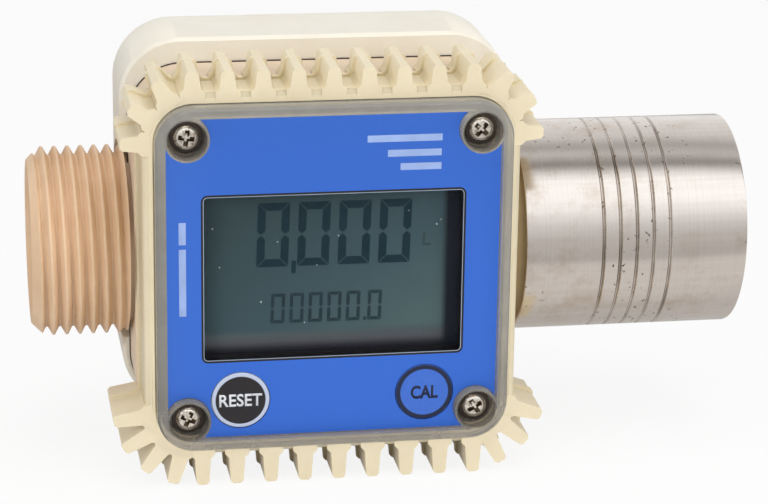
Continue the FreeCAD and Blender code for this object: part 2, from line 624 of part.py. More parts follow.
def hall_sensor():
    return box(MAGNET_X - SENSOR_WIDTH / 2, MAGNET_X + SENSOR_WIDTH / 2, BOARD_BACK,
               BOARD_BACK + SENSOR_HEIGHT, -SENSOR_LENGTH / 2, SENSOR_LENGTH / 2)


def push_button(x):
    """Round cap flush with the label, a flange behind the window plate and a stem to the switch."""
    front = LABEL_FRONT - BUTTON_PROUD
    flange_front = WINDOW_SEAT + BUTTON_FLANGE_GAP
    flange_back = flange_front + BUTTON_FLANGE_THICKNESS
    cap = rod_y(BUTTON_R, x, BUTTON_Z, front, flange_front)
    cap = cap.makeChamfer(BUTTON_EDGE_BEVEL, edges_at_y(cap, front))
    flange = rod_y(BUTTON_R + BUTTON_FLANGE, x, BUTTON_Z, flange_front, flange_back)
    stem = rod_y(BUTTON_STEM_R, x, BUTTON_Z, flange_back, PLUNGER_FRONT)
    return cap.multiFuse([flange, stem]).removeSplitter()


def tact_switch(x):
    half = SWITCH_SIZE / 2
    well_depth = PLUNGER_IN + BUTTON_TRAVEL + PLUNGER_FLOOR
    body = box(x - half, x + half, SWITCH_FRONT, BOARD_FRONT, BUTTON_Z - half, BUTTON_Z + half)
    well = rod_y(BUTTON_STEM_R + PLUNGER_CLEARANCE, x, BUTTON_Z, SWITCH_FRONT, SWITCH_FRONT + well_depth)
    return body.cut(well)


def switch_plunger(x):
    return rod_y(BUTTON_STEM_R, x, BUTTON_Z, PLUNGER_FRONT, SWITCH_FRONT + PLUNGER_IN)


# ---- Rear cover and batteries ----
def cover_shell():
    outer = rounded_block(-COVER_HALF_X, COVER_HALF_X, COVER_BOTTOM, COVER_TOP,
                          COVER_CORNER_R, FLANGE_BACK, COVER_BACK)
    outer = outer.makeFillet(COVER_BACK_ROUND, edges_at_y(outer, COVER_BACK))
    outer = outer.makeChamfer(COVER_FRONT_BEVEL, edges_at_y(outer, FLANGE_BACK))
    inner = rounded_block(COVER_WALL - COVER_HALF_X, COVER_HALF_X - COVER_WALL,
                          COVER_BOTTOM + COVER_WALL, COVER_TOP - COVER_WALL,
                          COVER_CORNER_R - COVER_WALL, FLANGE_BACK, COVER_BACK - COVER_WALL)
    inner = inner.makeChamfer(COVER_INNER_BEVEL, edges_at_y(inner, COVER_BACK - COVER_WALL))
    seat_back = FLANGE_BACK + COVER_WALL
    seat_rim = box(-COVER_HALF_X, COVER_HALF_X, FLANGE_BACK, seat_back, COVER_SEAT_Z, COVER_TOP)
    return outer, outer.cut(inner.cut(seat_rim))


def rear_cover():
    outer, shell = cover_shell()
    seat_front = REAR_SCREW_SEAT - REAR_SEAT_WEB
    posts = []
    holes = [rod_x(NECK_R + NOTCH_CLEARANCE, -COVER_HALF_X, COVER_HALF_X),
             rod_x(SEAL_R + NOTCH_CLEARANCE, FLANGE_HALF_X, COVER_HALF_X),
             rod_x(SEAL_R + NOTCH_CLEARANCE, -COVER_HALF_X, -FLANGE_HALF_X)]
    for x, z in four_places(REAR_SCREW_X, REAR_SCREW_ZS):
        far_x = math.copysign(COVER_HALF_X, x)
        far_z = COVER_TOP if z > 0 else COVER_BOTTOM
        posts.append(rod_y(REAR_POST_R, x, z, FLANGE_BACK, seat_front))
        posts.append(rod_y(REAR_HEAD_POST_R, x, z, seat_front, COVER_BACK))
        posts.append(box(min(x, far_x), max(x, far_x), FLANGE_BACK, COVER_BACK, min(z, far_z), max(z, far_z)))
        holes.append(rod_y(SCREW_R + SCREW_CLEARANCE, x, z, FLANGE_BACK, REAR_SCREW_SEAT))
        holes.append(rod_y(SCREW_HEAD_R + REAR_HEAD_CLEARANCE, x, z, REAR_SCREW_SEAT, COVER_BACK))
    solid_posts = posts[0].multiFuse(posts[1:]).common(outer)
    return shell.fuse(solid_posts).cut(holes).removeSplitter()


def rear_cover_screws():
    length = REAR_SCREW_SEAT - FLANGE_BACK + REAR_SCREW_REACH
    screws = []
    for x, z in four_places(REAR_SCREW_X, REAR_SCREW_ZS):
        screw = pan_screw(length)
        screw.rotate(Vector(0, 0, 0), Vector(0, 0, 1), 180)
        screw.translate(Vector(x, REAR_SCREW_SEAT, z))
        screws.append(screw)
    return group(screws)


def battery(z, nub_side):
    """Dry cell lying along X, its nub against the contact on nub_side."""
    nub_tip = TRAY_HALF_INSIDE - CONTACT_THICKNESS
    shoulder = nub_tip - BATTERY_NUB
    can = rod_x(BATTERY_R, shoulder - BATTERY_LENGTH, shoulder, BATTERY_Y, z)
    rims = [edge for edge in can.Edges if edge.BoundBox.XLength < 1e-4]
    can = can.makeChamfer(BATTERY_EDGE_BEVEL, rims)
    cell = can.fuse(rod_x(BATTERY_NUB_R, shoulder, nub_tip, BATTERY_Y, z))
    return cell if nub_side > 0 else mirrored_x(cell)


def battery_tray(z):
    half_x = TRAY_HALF_INSIDE + TRAY_WALL
    tray = box(-half_x, half_x, FLANGE_BACK, FLANGE_BACK + TRAY_HEIGHT, z - TRAY_HALF_Z, z + TRAY_HALF_Z)
    channel = rod_x(BATTERY_R + TRAY_CLEARANCE, -TRAY_HALF_INSIDE, TRAY_HALF_INSIDE, BATTERY_Y, z)
    return tray.cut(channel)


def battery_contact(z, side, sprung):
    """Plate at one end of a tray; the sprung one has a bowed leaf that meets the cell."""
    outer = TRAY_HALF_INSIDE
    half = CONTACT_WIDTH / 2
    plate = box(outer - CONTACT_THICKNESS, outer, BATTERY_Y - half, BATTERY_Y + half, z - half, z + half)
    if sprung:
        plate_face = outer - CONTACT_THICKNESS
        crown = plate_face - SPRING_BULGE

        def bow(reach, x_crown):
            return Part.Arc(Vector(plate_face, BATTERY_Y - reach, z - half),
                            Vector(x_crown, BATTERY_Y, z - half),
                            Vector(plate_face, BATTERY_Y + reach, z - half)).toShape()

        inner_reach = half - CONTACT_THICKNESS
        feet = [Part.LineSegment(Vector(plate_face, BATTERY_Y + way * inner_reach, z - half),
                                 Vector(plate_face, BATTERY_Y + way * half, z - half)).toShape()
                for way in (-1, 1)]
        edges = [bow(half, crown), bow(inner_reach, crown + CONTACT_THICKNESS)] + feet
        leaf = Part.Face(Part.Wire(Part.__sortEdges__(edges))).extrude(Vector(0, 0, CONTACT_WIDTH))
        plate = plate.fuse(leaf)
    return plate if side > 0 else mirrored_x(plate)


def battery_contacts():
    contacts = []
    for z, nub_side in ((UPPER_BATTERY_Z, 1), (LOWER_BATTERY_Z, -1)):
        contacts.append(battery_contact(z, nub_side, False))
        contacts.append(battery_contact(z, -nub_side, True))
    return group(contacts)


# ---- Rotor, bearings and straighteners ----
def blade():
    """One twisted blade, lofted through sections turned about the pipe axis."""
    stations = 5
    half = BLADE_THICKNESS / 2
    inner = HUB_R / 2
    outer = ROTOR_BORE_R
    sections = []
    for index in range(stations):
        share = index / (stations - 1)
        x = BLADE_HALF_LENGTH * (2 * share - 1)
        corners = [Vector(x, -half, inner), Vector(x, half, inner),
                   Vector(x, half, outer), Vector(x, -half, outer)]
        section = Part.makePolygon(corners + [corners[0]])
        section.rotate(Vector(0, 0, 0), Vector(1, 0, 0), BLADE_TWIST * (share - 0.5))
        sections.append(section)
    return Part.makeLoft(sections, True)


def turbine_rotor():
    hub_half = ROTOR_BORE_HALF - ROTOR_END_PLAY
    tip_r = ROTOR_BORE_R - BLADE_TIP_CLEARANCE
    blades = []
    for index in range(BLADE_COUNT):
        turned_blade = blade()
        turned_blade.rotate(Vector(0, 0, 0), Vector(1, 0, 0), 360.0 * index / BLADE_COUNT)
        blades.append(turned_blade)
    swept = blades[0].multiFuse(blades[1:]).common(rod_x(tip_r, -BLADE_HALF_LENGTH, BLADE_HALF_LENGTH))
    rotor = rod_x(HUB_R, -hub_half, hub_half).fuse(swept)
    bore = rod_x(SHAFT_R + SHAFT_GRIP, -hub_half, hub_half)
    pockets = [magnet(side, MAGNET_OUTER + MAGNET_LENGTH) for side in (-1, 1)]
    return rotor.cut([bore] + pockets).removeSplitter()


def magnet(side, outer):
    inner = MAGNET_OUTER - MAGNET_LENGTH
    return Part.makeCylinder(MAGNET_R, outer - inner, Vector(MAGNET_X, 0, side * inner), Vector(0, 0, side))


def rotor_magnets():
    return group([magnet(side, MAGNET_OUTER) for side in (-1, 1)])


def rotor_shaft():
    half = ROTOR_BORE_HALF + SHAFT_OVERLAP
    return rod_x(SHAFT_R, -half, half)


def bush(side):
    start = ROTOR_BORE_HALF
    sleeve = rod_x(BUSH_R, start, start + BUSH_LENGTH)
    sleeve = sleeve.cut(rod_x(SHAFT_R + SHAFT_CLEARANCE, start, start + BUSH_LENGTH))
    return sleeve if side > 0 else mirrored_x(sleeve)


def straightener(side):
    """Ring, straight vanes and a hub with a rounded nose; its pocket holds the bush."""
    ring_outer = BORE_R - INSERT_CLEARANCE
    ring = rod_x(ring_outer, ROTOR_BORE_HALF, STRAIGHTENER_OUTER)
    ring = ring.cut(rod_x(ring_outer - STRAIGHTENER_RING, ROTOR_BORE_HALF, STRAIGHTENER_OUTER))
    nose = []
    for step in range(NOSE_STEPS + 1):
        angle = math.radians(NOSE_END_ANGLE * step / NOSE_STEPS)
        nose.append((STRAIGHTENER_OUTER + NOSE_LENGTH * math.sin(angle), HUB_R * math.cos(angle)))
    hub = turned([(ROTOR_BORE_HALF, 0), (ROTOR_BORE_HALF, HUB_R)] + nose + [(nose[-1][0], 0)])
    vanes = []
    for index in range(STRAIGHTENER_VANES):
        vane = box(ROTOR_BORE_HALF + VANE_SETBACK, STRAIGHTENER_OUTER - VANE_SETBACK,
                   -VANE_THICKNESS / 2, VANE_THICKNESS / 2,
                   HUB_R / 2 + BUSH_R / 2, ring_outer - STRAIGHTENER_RING / 2)
        vane.rotate(Vector(0, 0, 0), Vector(1, 0, 0), 360.0 * index / STRAIGHTENER_VANES)
        vanes.append(vane)
    whole = ring.multiFuse([hub] + vanes)
    pocket_end = ROTOR_BORE_HALF + BUSH_LENGTH + ROTOR_END_PLAY
    whole = whole.cut(rod_x(BUSH_R + INSERT_CLEARANCE, ROTOR_BORE_HALF, pocket_end)).removeSplitter()
    return whole if side > 0 else mirrored_x(whole)


def retaining_rings():
    outer = BORE_R + RING_GROOVE - INSERT_CLEARANCE
    ring = rod_x(outer, STRAIGHTENER_OUTER, STRAIGHTENER_OUTER + RING_THICKNESS)
    ring = ring.cut([
        rod_x(outer - RING_WIDTH, STRAIGHTENER_OUTER, STRAIGHTENER_OUTER + RING_THICKNESS),
        box(STRAIGHTENER_OUTER, STRAIGHTENER_OUTER + RING_THICKNESS,
            -RING_GAP_WIDTH / 2, RING_GAP_WIDTH / 2, 0, outer + RING_WIDTH),
    ])
    return group([ring, mirrored_x(ring)])


# ---- Outlet socket, screwed on the outlet stub ----
def outlet_socket():
    step = STUB_END + SOCKET_THREAD_RUNOUT
    outside = [(SOCKET_START, SOCKET_R - SOCKET_CHAMFER), (SOCKET_START + SOCKET_CHAMFER, SOCKET_R)]
    for index in range(SOCKET_GROOVES):
        middle = SOCKET_START + SOCKET_GROOVE_FIRST + index * SOCKET_GROOVE_PITCH
        outside.append((middle - SOCKET_GROOVE_WIDTH / 2, SOCKET_R))
        outside.append((middle, SOCKET_R - SOCKET_GROOVE_DEPTH))
        outside.append((middle + SOCKET_GROOVE_WIDTH / 2, SOCKET_R))
    outside += [(SOCKET_END - SOCKET_CHAMFER, SOCKET_R), (SOCKET_END, SOCKET_R - SOCKET_CHAMFER)]
    inside = [
        (SOCKET_END, THREAD_MINOR_R + SOCKET_MOUTH_CHAMFER),
        (SOCKET_END - SOCKET_MOUTH_CHAMFER, THREAD_MINOR_R),
        (step, THREAD_MINOR_R),
        (step, SOCKET_BORE_R),
        (SOCKET_START, SOCKET_BORE_R),
    ]
    return turned(outside + inside)


def socket_seal():
    ring = rod_x(SEAL_R, FLANGE_HALF_X, SOCKET_START)
    return ring.cut(rod_x(NECK_R + SEAL_CLEARANCE, FLANGE_HALF_X, SOCKET_START))


def export(node, shape):
    solids = [solid.copy() for solid in shape.Solids]
    placed = solids[0] if len(solids) == 1 else group(solids)
    placed.translate(Vector(-INLET_THREAD_MIDDLE, 0, 0))
    placed.exportStep("parts/" + node + ".step")
    volume = sum(solid.Volume for solid in solids)
    print(node, len(solids), "solids", round(volume, 1), "mm3, valid", placed.isValid())


def main():
    os.makedirs("parts", exist_ok=True)
    export("turbine_body", turbine_body())
    export("front_housing", front_housing())
    export("window_cover", window_cover())
    export("window_gasket", window_gasket())
    export("flange_gasket", flange_gasket())
    export("face_label", face_label())
    export("window_screws", window_screws())
    export("lcd_panel", lcd_panel())
    export("lcd_frame", lcd_frame())
    export("zebra_strips", zebra_strips())
    export("circuit_board", circuit_board())
    export("board_screws", board_screws())
    export("controller_chip", controller_chip())
    export("timing_crystal", timing_crystal())
    export("hall_sensor", hall_sensor())
    for name, x in (("reset", -BUTTON_X), ("cal", BUTTON_X)):
        export(name + "_button", push_button(x))
        export(name + "_switch", tact_switch(x))
        export(name + "_plunger", switch_plunger(x))
    export("rear_cover", rear_cover())
    export("rear_cover_screws", rear_cover_screws())
    export("battery_contacts", battery_contacts())
    for name, z, nub_side in (("upper", UPPER_BATTERY_Z, 1), ("lower", LOWER_BATTERY_Z, -1)):
        export(name + "_battery", battery(z, nub_side))
        export(name + "_battery_tray", battery_tray(z))
    export("turbine_rotor", turbine_rotor())
    export("rotor_shaft", rotor_shaft())
    export("rotor_magnets", rotor_magnets())
    for name, side in (("inlet", -1), ("outlet", 1)):
        export(name + "_bush", bush(side))
        export(name + "_straightener", straightener(side))
    export("retaining_rings", retaining_rings())
    export("outlet_socket", outlet_socket())
    export("socket_seal", socket_seal())


main()
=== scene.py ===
"""Looks of the turbine flow meter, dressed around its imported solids."""
import math

import bmesh
import bpy
from mathutils import Matrix, Vector

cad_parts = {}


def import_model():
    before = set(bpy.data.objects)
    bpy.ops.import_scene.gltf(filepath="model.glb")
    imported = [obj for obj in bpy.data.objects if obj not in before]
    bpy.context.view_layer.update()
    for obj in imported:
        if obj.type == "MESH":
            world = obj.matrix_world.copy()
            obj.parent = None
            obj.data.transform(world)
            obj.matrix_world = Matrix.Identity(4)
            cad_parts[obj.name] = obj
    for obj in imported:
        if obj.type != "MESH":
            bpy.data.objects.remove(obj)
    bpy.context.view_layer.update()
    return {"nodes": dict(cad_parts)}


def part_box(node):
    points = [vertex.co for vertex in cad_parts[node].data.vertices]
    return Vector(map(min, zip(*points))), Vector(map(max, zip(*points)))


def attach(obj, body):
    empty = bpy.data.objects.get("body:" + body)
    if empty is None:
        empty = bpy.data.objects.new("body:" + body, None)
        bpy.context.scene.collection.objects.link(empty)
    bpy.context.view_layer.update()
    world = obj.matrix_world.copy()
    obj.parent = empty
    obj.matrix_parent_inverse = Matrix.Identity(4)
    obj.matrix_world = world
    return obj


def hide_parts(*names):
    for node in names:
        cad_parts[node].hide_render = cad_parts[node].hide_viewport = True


MM = 0.001

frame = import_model()

# ---- Places read from the frame, in metres ----
head_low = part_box("front_housing")[0]
label_low, label_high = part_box("face_label")
lcd_low, lcd_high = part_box("lcd_panel")
body_low, body_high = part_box("turbine_body")
cover_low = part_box("rear_cover")[0]
socket_low, socket_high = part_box("outlet_socket")
seal_low, seal_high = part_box("socket_seal")
screws_low, screws_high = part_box("window_screws")
reset_low, reset_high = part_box("reset_button")
cal_low, cal_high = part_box("cal_button")
HEAD_X = (label_low.x + label_high.x) / 2
LABEL_Y = label_low.y
LCD_Y = lcd_low.y
KEY_Y = reset_low.y
KEY_Z = (reset_low.z + reset_high.z) / 2
RESET_X = (reset_low.x + reset_high.x) / 2
CAL_X = (cal_low.x + cal_high.x) / 2

# ---- Sizes ----
WALL_HALF = 32.3 * MM         # half the width and height of the head's wall, without the ribs
ROW_HALF = 28.0 * MM          # half the length of a straight row of ribs
FLANGE_HALF_X = HEAD_X - cover_low.x - 1.4 * MM
FLANGE_CORNER_R = 9.5 * MM
SEAM_WIDTH = 0.20 * MM        # width of the painted shadow in the gap between the rear cover and the flange
SEAM_HEIGHT = 0.22 * MM

VIEW_HALF_X = 22.3 * MM       # the label's opening round the display
VIEW_HALF_Z = 14.6 * MM
VIEW_CORNER_R = 0.8 * MM
BORDER_WIDTH = 0.34 * MM
# Pale ring on the label film's cut edge round the opening: painted highlight.
EDGE_HIGHLIGHT_WIDTH = 0.11 * MM
EDGE_HIGHLIGHT_DEPTH = 0.05 * MM
PRINT_THICKNESS = 0.02 * MM
CLEAR_MARGIN = 0.7 * MM       # clear window beyond that opening, before it turns milky
CLEAR_FADE = 0.6 * MM

# Pipe threads, ISO 228 G1, right-handed
PITCH = 2.309 * MM
CREST_R = 33.249 / 2 * MM
MINOR_R = 30.291 / 2 * MM
THREAD_DEPTH = 1.479 * MM
THREAD_FLAT = 0.16            # flat of a root or a crest, in parts of half a pitch
THREAD_PHASE = 0.99 * MM      # from the head's middle to a crest line, along X
THREAD_STARTS = {-1: seal_low.x - HEAD_X + 0.8 * MM, 1: seal_high.x - HEAD_X + 0.6 * MM}
RUNOUT_LENGTH = 0.6 * PITCH   # over which the first turn reaches its depth
RUNOUT_START = 0.2
STUB_CHAMFER = 2.2 * MM
STUB_CUT = 0.01 * MM          # the plain stubs end this far before the threaded ones start
BORE_R = 12.0 * MM
MOUTH_CHAMFER = 1.0 * MM
STEPS_PER_TURN = 14
SEGMENTS = 144

SOCKET_R = (socket_high.z - socket_low.z) / 2
SOCKET_CHAMFER = 0.5 * MM
SOCKET_STEP = socket_low.x + 16.6 * MM    # where the wide bore over the stub ends
SOCKET_MOUTH = 1.4 * MM
STUB_GAP = 0.1 * MM
GROOVE_FIRST = 13.9 * MM
GROOVE_PITCH = 3.0 * MM
GROOVE_COUNT = 5
GROOVE_WIDTH = 0.7 * MM
GROOVE_DEPTH = 0.35 * MM
# place across a turned groove, in parts of its half width, and share of its depth there
GROOVE_PROFILE = ((-1, 0), (-0.7, 0.75), (-0.25, 1), (0.25, 0.85), (0.6, 0.3), (1, 0))

SCREW_R = 2.2 * MM
SCREW_HEIGHT = 1.5 * MM
SCREW_SHADE = (3.7 * MM, 3.2 * MM)        # from a screw's middle, where the window is painted darker as shade
SHANK_R = 1.35 * MM
WASHER_R = 2.8 * MM
WASHER_HEIGHT = 0.5 * MM
WASHER_BEVEL = 0.2 * MM
SCREW_SEGMENTS = 48
# radius and depth below the top of a screw's head, both in parts of the head's size
SCREW_PROFILE = ((0.25, 0.01), (0.50, 0.04), (0.70, 0.10), (0.85, 0.20), (0.94, 0.34), (0.99, 0.52),
                 (1.00, 0.66), (1.00, 1.00))
RECESS_REACH = 1.5 * MM
RECESS_HALF_WIDTH = 0.42 * MM
RECESS_DEPTH = 0.85 * MM
RECESS_TAPER = 0.45
TOOL_ABOVE = 0.3 * MM         # how far the cutting cross stands out of the head
WELD = 0.001 * MM


# ---- Node trees and materials ----
class Nodes:
    """Helper round one node tree."""

    def __init__(self, tree, coordinates):
        self.tree = tree
        self.coords = self.node("TexCoord").outputs[coordinates]

    def node(self, kind, **values):
        node = self.tree.nodes.new("ShaderNode" + kind)
        for key, value in values.items():
            setattr(node, key, value)
        return node

    def link(self, source, target):
        self.tree.links.new(source, target)

    def put(self, value, target):
        """Set a socket to a number or a colour, or link it to another socket."""
        if isinstance(value, (int, float)):
            target.default_value = value
        elif isinstance(value, tuple):
            target.default_value = (*value, 1)
        else:
            self.link(value, target)

    def mapped(self, scale=(1, 1, 1), location=(0, 0, 0)):
        mapping = self.node("Mapping")
        mapping.inputs["Scale"].default_value = scale
        mapping.inputs["Location"].default_value = location
        self.link(self.coords, mapping.inputs["Vector"])
        return mapping.outputs["Vector"]

    def noise(self, scale, detail=3.0, roughness=0.5, vector=None):
        noise = self.node("TexNoise")
        noise.inputs["Scale"].default_value = scale
        noise.inputs["Detail"].default_value = detail
        noise.inputs["Roughness"].default_value = roughness
        self.link(vector or self.coords, noise.inputs["Vector"])
        return noise.outputs["Fac"]

    def ramp(self, source, stops):
        ramp = self.node("ValToRGB")
        elements = ramp.color_ramp.elements
        while len(elements) < len(stops):
            elements.new(0.5)
        for element, (position, value) in zip(elements, stops):
            element.position = position
            element.color = (*value, 1) if isinstance(value, tuple) else (value, value, value, 1)
        self.link(source, ramp.inputs["Fac"])
        return ramp.outputs["Color"]

    def mix(self, factor, first, second):
        mix = self.node("Mix", data_type="RGBA")
        for index, value in ((0, factor), (6, first), (7, second)):
            self.put(value, mix.inputs[index])
        return mix.outputs[2]

    def math(self, operation, first, second=0.0, clamp=False):
        node = self.node("Math", operation=operation, use_clamp=clamp)
        self.put(first, node.inputs[0])
        self.put(second, node.inputs[1])
        return node.outputs[0]

    def product(self, *factors):
        result = factors[0]
        for factor in factors[1:]:
            result = self.math("MULTIPLY", result, factor)
        return result

    def axis(self, name, vector=None):
        separate = self.node("SeparateXYZ")
        self.link(vector or self.coords, separate.inputs[0])
        return separate.outputs[name]

    def off_axis(self, name, middle=0.0):
        """Distance along one axis from a middle."""
        return self.math("ABSOLUTE", self.math("SUBTRACT", self.axis(name), middle))

    def length(self, x, z):
        """Length of a vector in the XZ plane."""
        joined = self.node("CombineXYZ")
        self.put(x, joined.inputs["X"])
        self.put(z, joined.inputs["Z"])
        measured = self.node("VectorMath", operation="LENGTH")
        self.link(joined.outputs[0], measured.inputs[0])
        return measured.outputs["Value"]

    def span(self, source, low, high, to_low=0.0, to_high=1.0):
        """Map low..high to to_low..to_high, clamped; low may be the larger one."""
        ranged = self.node("MapRange")
        for key, value in (("From Min", low), ("From Max", high), ("To Min", to_low), ("To Max", to_high)):
            ranged.inputs[key].default_value = value
        self.link(source, ranged.inputs["Value"])
        return ranged.outputs["Result"]


class Material(Nodes):
    """One material with a Principled shader, in object coordinates."""

    def __init__(self, name, color, **settings):
        self.data = bpy.data.materials.new(name)
        self.data.use_nodes = True
        super().__init__(self.data.node_tree, "Object")
        self.shader = self.tree.nodes["Principled BSDF"]
        self.shader.inputs["Base Color"].default_value = (*color, 1)
        for key, value in settings.items():
            self.shader.inputs[key.replace("_", " ").title().replace("Ior", "IOR")].default_value = value
    def color(self, source):
        self.link(source, self.shader.inputs["Base Color"])

    def roughness(self, source):
        self.link(source, self.shader.inputs["Roughness"])

    def bump(self, source, strength, distance):
        bump = self.node("Bump")
        bump.inputs["Strength"].default_value = strength
        bump.inputs["Distance"].default_value = distance
        self.link(source, bump.inputs["Height"])
        self.link(bump.outputs["Normal"], self.shader.inputs["Normal"])

    def blend_surface(self, factor, other):
        """Show another shader in place of the main one where the factor is 1."""
        blend = self.node("MixShader")
        self.link(factor, blend.inputs[0])
        self.link(self.shader.outputs[0], blend.inputs[1])
        self.link(other, blend.inputs[2])
        self.link(blend.outputs[0], self.tree.nodes["Material Output"].inputs["Surface"])


def painted_rib_shade(material):
    """1 on the sloping front edge of the head's wall between the ribs, where shade is painted."""
    facing = material.math("ABSOLUTE", material.axis("Y", material.node("TexCoord").outputs["Normal"]))
    sloping = material.product(material.span(facing, 0.99, 0.90), material.span(facing, 0.10, 0.30))
    on_edge = material.span(material.off_axis("Z"), WALL_HALF + 0.25 * MM, WALL_HALF)
    in_row = material.span(material.off_axis("X", HEAD_X), ROW_HALF, ROW_HALF - 3.0 * MM)
    return material.product(sloping, on_edge, in_row)


def moulded(name, light, dark, roughness=0.42, painted_shade=None):
    """Moulded plastic: cloudy tone, fine grain, darker in its hollows, with painted shade where an extra mask
    is given.
    """
    material = Material(name, light, roughness=roughness, ior=1.48)
    cloud = material.noise(55, 4, 0.6)
    tone = material.mix(material.ramp(cloud, ((0.35, 0.0), (0.75, 1.0))), light, dark)
    # Darker where the surface is hollow; an extra mask adds painted shade on top.
    pointiness = material.node("NewGeometry").outputs["Pointiness"]
    darkening = material.product(material.ramp(pointiness, ((0.40, 1.0), (0.50, 0.0))), 0.35)
    if painted_shade:
        darkening = material.math("MAXIMUM", darkening, material.product(painted_shade(material), 0.62))
    material.color(material.mix(darkening, tone, tuple(c * 0.55 for c in dark)))
    speck = material.noise(420, 2, 0.5)
    material.roughness(material.span(speck, 0.3, 0.7, roughness - 0.06, roughness + 0.08))
    material.bump(material.noise(1600, 3, 0.6), 0.35, 0.04 * MM)
    return material.data


def plain_grain(name, color, roughness=0.5, metallic=0.0, variation=0.15, scale=300, grain=0.03 * MM,
                **settings):
    """Simple part: slight tone variation and fine bump."""
    material = Material(name, color, roughness=roughness, metallic=metallic, **settings)
    cloud = material.ramp(material.noise(scale, 3), ((0.3, 0.0), (0.7, 1.0)))
    material.color(material.mix(cloud, color, tuple(c * (1 - variation) for c in color)))
    material.bump(material.noise(scale * 5, 2), 0.3, grain)
    return material.data


def socket_steel():
    """Turned stainless steel: faint tool rings, streaks along the pipe, stained grooves and small pits."""
    material = Material("socket_steel", (0.66, 0.63, 0.60), metallic=1.0, roughness=0.3)
    rings = material.noise(1.0, 4, 0.7, material.mapped((2600, 3, 3)))
    streaks = material.noise(1.0, 4, 0.6, material.mapped((18, 700, 700)))
    stain = material.noise(150, 6, 0.7)
    wide_stain = material.noise(38, 3, 0.6)
    streaked = material.ramp(streaks, ((0.35, 0.0), (0.65, 0.30)))
    base = material.mix(streaked, (0.80, 0.745, 0.70), (0.66, 0.605, 0.56))
    base = material.mix(material.ramp(rings, ((0.3, 0.16), (0.6, 0.0))), base, (0.45, 0.41, 0.37))
    blotch = material.product(material.ramp(stain, ((0.48, 0.0), (0.68, 0.7))),
                              material.ramp(wide_stain, ((0.42, 0.1), (0.62, 1.0))))
    base = material.mix(blotch, base, (0.58, 0.48, 0.39))

    # Dirt in the grooves; each one is at a whole turn of this count and a half.
    first = socket_low.x + GROOVE_FIRST - GROOVE_PITCH / 2
    turns = material.math("DIVIDE", material.math("SUBTRACT", material.axis("X"), first), GROOVE_PITCH)
    beside = material.math("ABSOLUTE", material.math("SUBTRACT", material.math("FRACT", turns), 0.5))
    in_row = material.product(material.math("GREATER_THAN", turns, 0.0),
                              material.math("LESS_THAN", turns, float(GROOVE_COUNT)))
    in_groove = material.product(in_row, material.span(beside, 0.13, 0.08))
    grime = material.ramp(material.noise(120, 3), ((0.35, 0.15), (0.65, 0.80)))
    base = material.mix(material.product(in_groove, grime), base, (0.32, 0.27, 0.23))

    # Pits in a few patches and close to the grooves.
    near_groove = material.product(in_row, material.span(beside, 0.42, 0.12))
    pits = material.ramp(material.noise(1050, 2, 0.5), ((0.29, 1.0), (0.34, 0.0)))
    patch = material.ramp(material.noise(75, 2, 0.5, material.mapped(location=(0.3, 0.1, 0.2))),
                          ((0.52, 0.0), (0.62, 1.0)))
    where = material.math("MAXIMUM", patch, material.product(near_groove, 0.75))
    pitted = material.product(pits, where)
    material.color(material.mix(pitted, base, (0.10, 0.075, 0.06)))
    rough = material.math("ADD", material.span(streaks, 0.3, 0.7, 0.12, 0.20), material.product(stain, 0.08))
    material.roughness(rough)
    height = material.math("SUBTRACT", material.product(streaks, 0.4), pitted)
    material.bump(height, 0.25, 0.03 * MM)
    return material.data


def screw_steel(name, bright, dark, low, high):
    """Plated steel, worn and stained."""
    material = Material(name, bright, metallic=1.0, roughness=0.25)
    stain = material.noise(1300, 4, 0.7)
    material.color(material.mix(material.ramp(stain, ((0.50, 0.0), (0.62, 1.0))), bright, dark))
    material.roughness(material.span(stain, 0.3, 0.7, low, high))
    material.bump(material.noise(2500, 3), 0.3, 0.04 * MM)
    return material.data


def clear_plastic():
    """Window, clear over the display, milky towards its rim, with painted shade round the screws and at the
    rim's bottom; lamps shine through.
    """
    clear = (0.97, 0.97, 0.96)
    material = Material("clear_plastic", (0.93, 0.92, 0.90), roughness=0.01, ior=1.36,
                        transmission_weight=1.0)
    beside = material.off_axis("X", HEAD_X)
    above = material.off_axis("Z")
    start_x = VIEW_HALF_X + CLEAR_MARGIN
    start_z = VIEW_HALF_Z + CLEAR_MARGIN
    outside = material.math("MAXIMUM", material.span(beside, start_x, start_x + CLEAR_FADE),
                            material.span(above, start_z, start_z + CLEAR_FADE))
    cloud = material.ramp(material.noise(240, 3, 0.6), ((0.3, 0.85), (0.7, 1.0)))
    milky = material.product(outside, cloud, 0.38)
    material.link(material.math("SUBTRACT", 1.0, milky), material.shader.inputs["Transmission Weight"])
    material.link(material.span(outside, 0.0, 1.0, 0.04, 1.0), material.shader.inputs["Alpha"])

    # Painted shade: the milky rim gets darker towards the bottom.
    height = material.span(material.axis("Z"), -28.0 * MM, -14.0 * MM)
    rim = material.mix(height, (0.42, 0.40, 0.375), (0.62, 0.60, 0.55))
    screw_x = (screws_high.x - screws_low.x) / 2 - SCREW_R
    screw_z = (screws_high.z - screws_low.z) / 2 - SCREW_R
    # Painted shade of the counterbores round each screw.
    from_screw = material.length(material.math("SUBTRACT", beside, screw_x),
                                 material.math("SUBTRACT", above, screw_z))
    painted_screw_shade = material.span(from_screw, *SCREW_SHADE)
    material.color(material.mix(painted_screw_shade, material.mix(outside, clear, rim), (0.17, 0.15, 0.13)))

    passing = material.node("BsdfTransparent")
    passing.inputs["Color"].default_value = (*clear, 1)
    material.blend_surface(material.node("LightPath").outputs["Is Shadow Ray"], passing.outputs[0])
    return material.data


